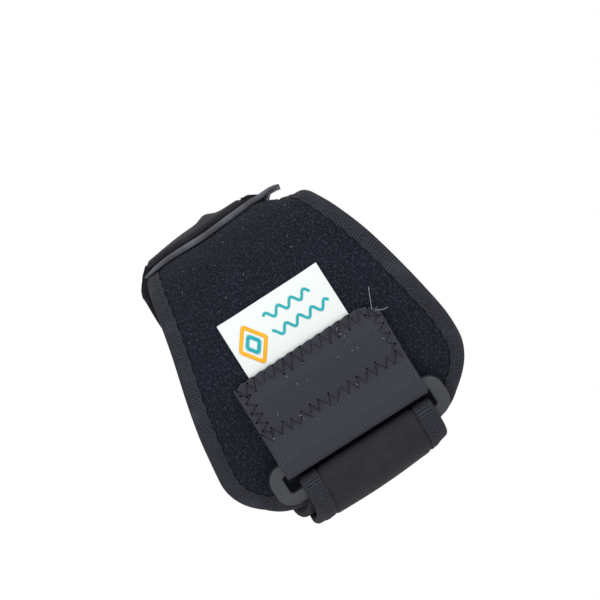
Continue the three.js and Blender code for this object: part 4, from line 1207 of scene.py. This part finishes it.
ring_faces = np.stack([ids, next_row, np.roll(next_row, -1, axis=1), next_column], -1)
ring_flat = np.stack([plan[..., 0], plan[..., 1] + 2 * ring_lift], -1).reshape(-1, 2)
add_piece(
    "strap_ring_moulding", ring_points.reshape(-1, 3), ring_faces.reshape(-1, 4).tolist(), ring_flat,
    ring_plastic, "strap_ring",
)
print("ring outside in mm:", RING_INSIDE + 2 * RING_SIDE, "by", ring_height)

# %% [markdown]
# Lint and thread ends
# Black loop cloth gathers pale lint, and a sewing machine leaves ends of thread where a seam starts. They are
# a few bent hairs, but without them black cloth looks drawn. Two thread ends stand at the elastic's corner.

# %% Lint and thread ends
# Cotton lint: dry and pale, some fibres greyer than others.
lint_fibre = mottled("pale_cotton_lint", "#6d7078", "#b9bcc2", 0.5, Roughness=0.8, Specular_IOR_Level=0.3)[0]


def hairs_on(name, place, starts, lengths, radius, bow):
    """Bent hairs that lie on a surface. starts are places a and b on it."""
    t = np.linspace(0, 1, 7)
    turn = rng.uniform(0, 2 * math.pi, (len(starts), 1))
    curl = rng.normal(0, bow, (len(starts), 1))
    a = starts[:, :1] + lengths[:, None] * (t * np.cos(turn) - curl * t * (1 - t) * np.sin(turn))
    b = starts[:, 1:] + lengths[:, None] * (t * np.sin(turn) + curl * t * (1 - t) * np.cos(turn))
    centres, outward = over_surface(place, a, b, 0.05 + 0.12 * np.sin(math.pi * t))
    return tubes(name, centres, outward, radius, lint_fibre, 4)


on_elastic = lambda a, b, lift: elastic_point(b, a, ELASTIC_THICKNESS / 2 + lift)
spots = np.stack([rng.uniform(-28, 28, 16), rng.uniform(1, 25, 16)], -1)
hairs_on("lint_on_elastic", on_elastic, spots, rng.uniform(0.4, 1.2, 16), 0.075, 0.8)
on_pad = lambda a, b, lift: over_pile(a, b, 0.3 + lift)
pad_spots = np.stack([rng.uniform(-38, 66, 34), rng.uniform(-26, 26, 34)], -1)
hairs_on("lint_on_pad", on_pad, pad_spots, rng.uniform(0.3, 1.1, 34), 0.06, 0.8)

t = np.linspace(0, 1, 16)
# Each thread end, as stations, heights and places across.
tail_one = np.stack([5.0 + 7.2 * t, 4.8 + 3.0 * np.sin(t * 2.2), 30.4 + 3.4 * t**1.4], -1)
tail_two = np.stack([5.2 - 1.6 * t, 4.9 + 1.6 * np.sin(t * 3.0), 30.6 + 5.4 * t], -1)
tails = np.stack([tail_one, tail_two])
on_loop = lambda a, b, height: loop_point(a, height, b)
centres, outward = over_surface(on_loop, tails[..., 0], tails[..., 2], tails[..., 1] + 0.9)
tubes("thread_ends", centres, outward, 0.09, lint_fibre, 6, 0.8)
print("lint: 50 hairs, and 2 thread ends")

# %% [markdown]
# The two boxes
# The visible strap has to stay inside the CAD model's box, but for a little that cloth may stand proud of it.
# Both boxes are printed next to each other, so that they can be compared.

# %% The two boxes
visual_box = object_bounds()
boxes = {"cad": cad_box, "visual": visual_box}
boxes = {name: [[float(c) for c in corner] for corner in box] for name, box in boxes.items()}
for name, (low, high) in boxes.items():
    print(name, "box in mm:", [round((b - a) * 1000, 1) for a, b in zip(low, high)])
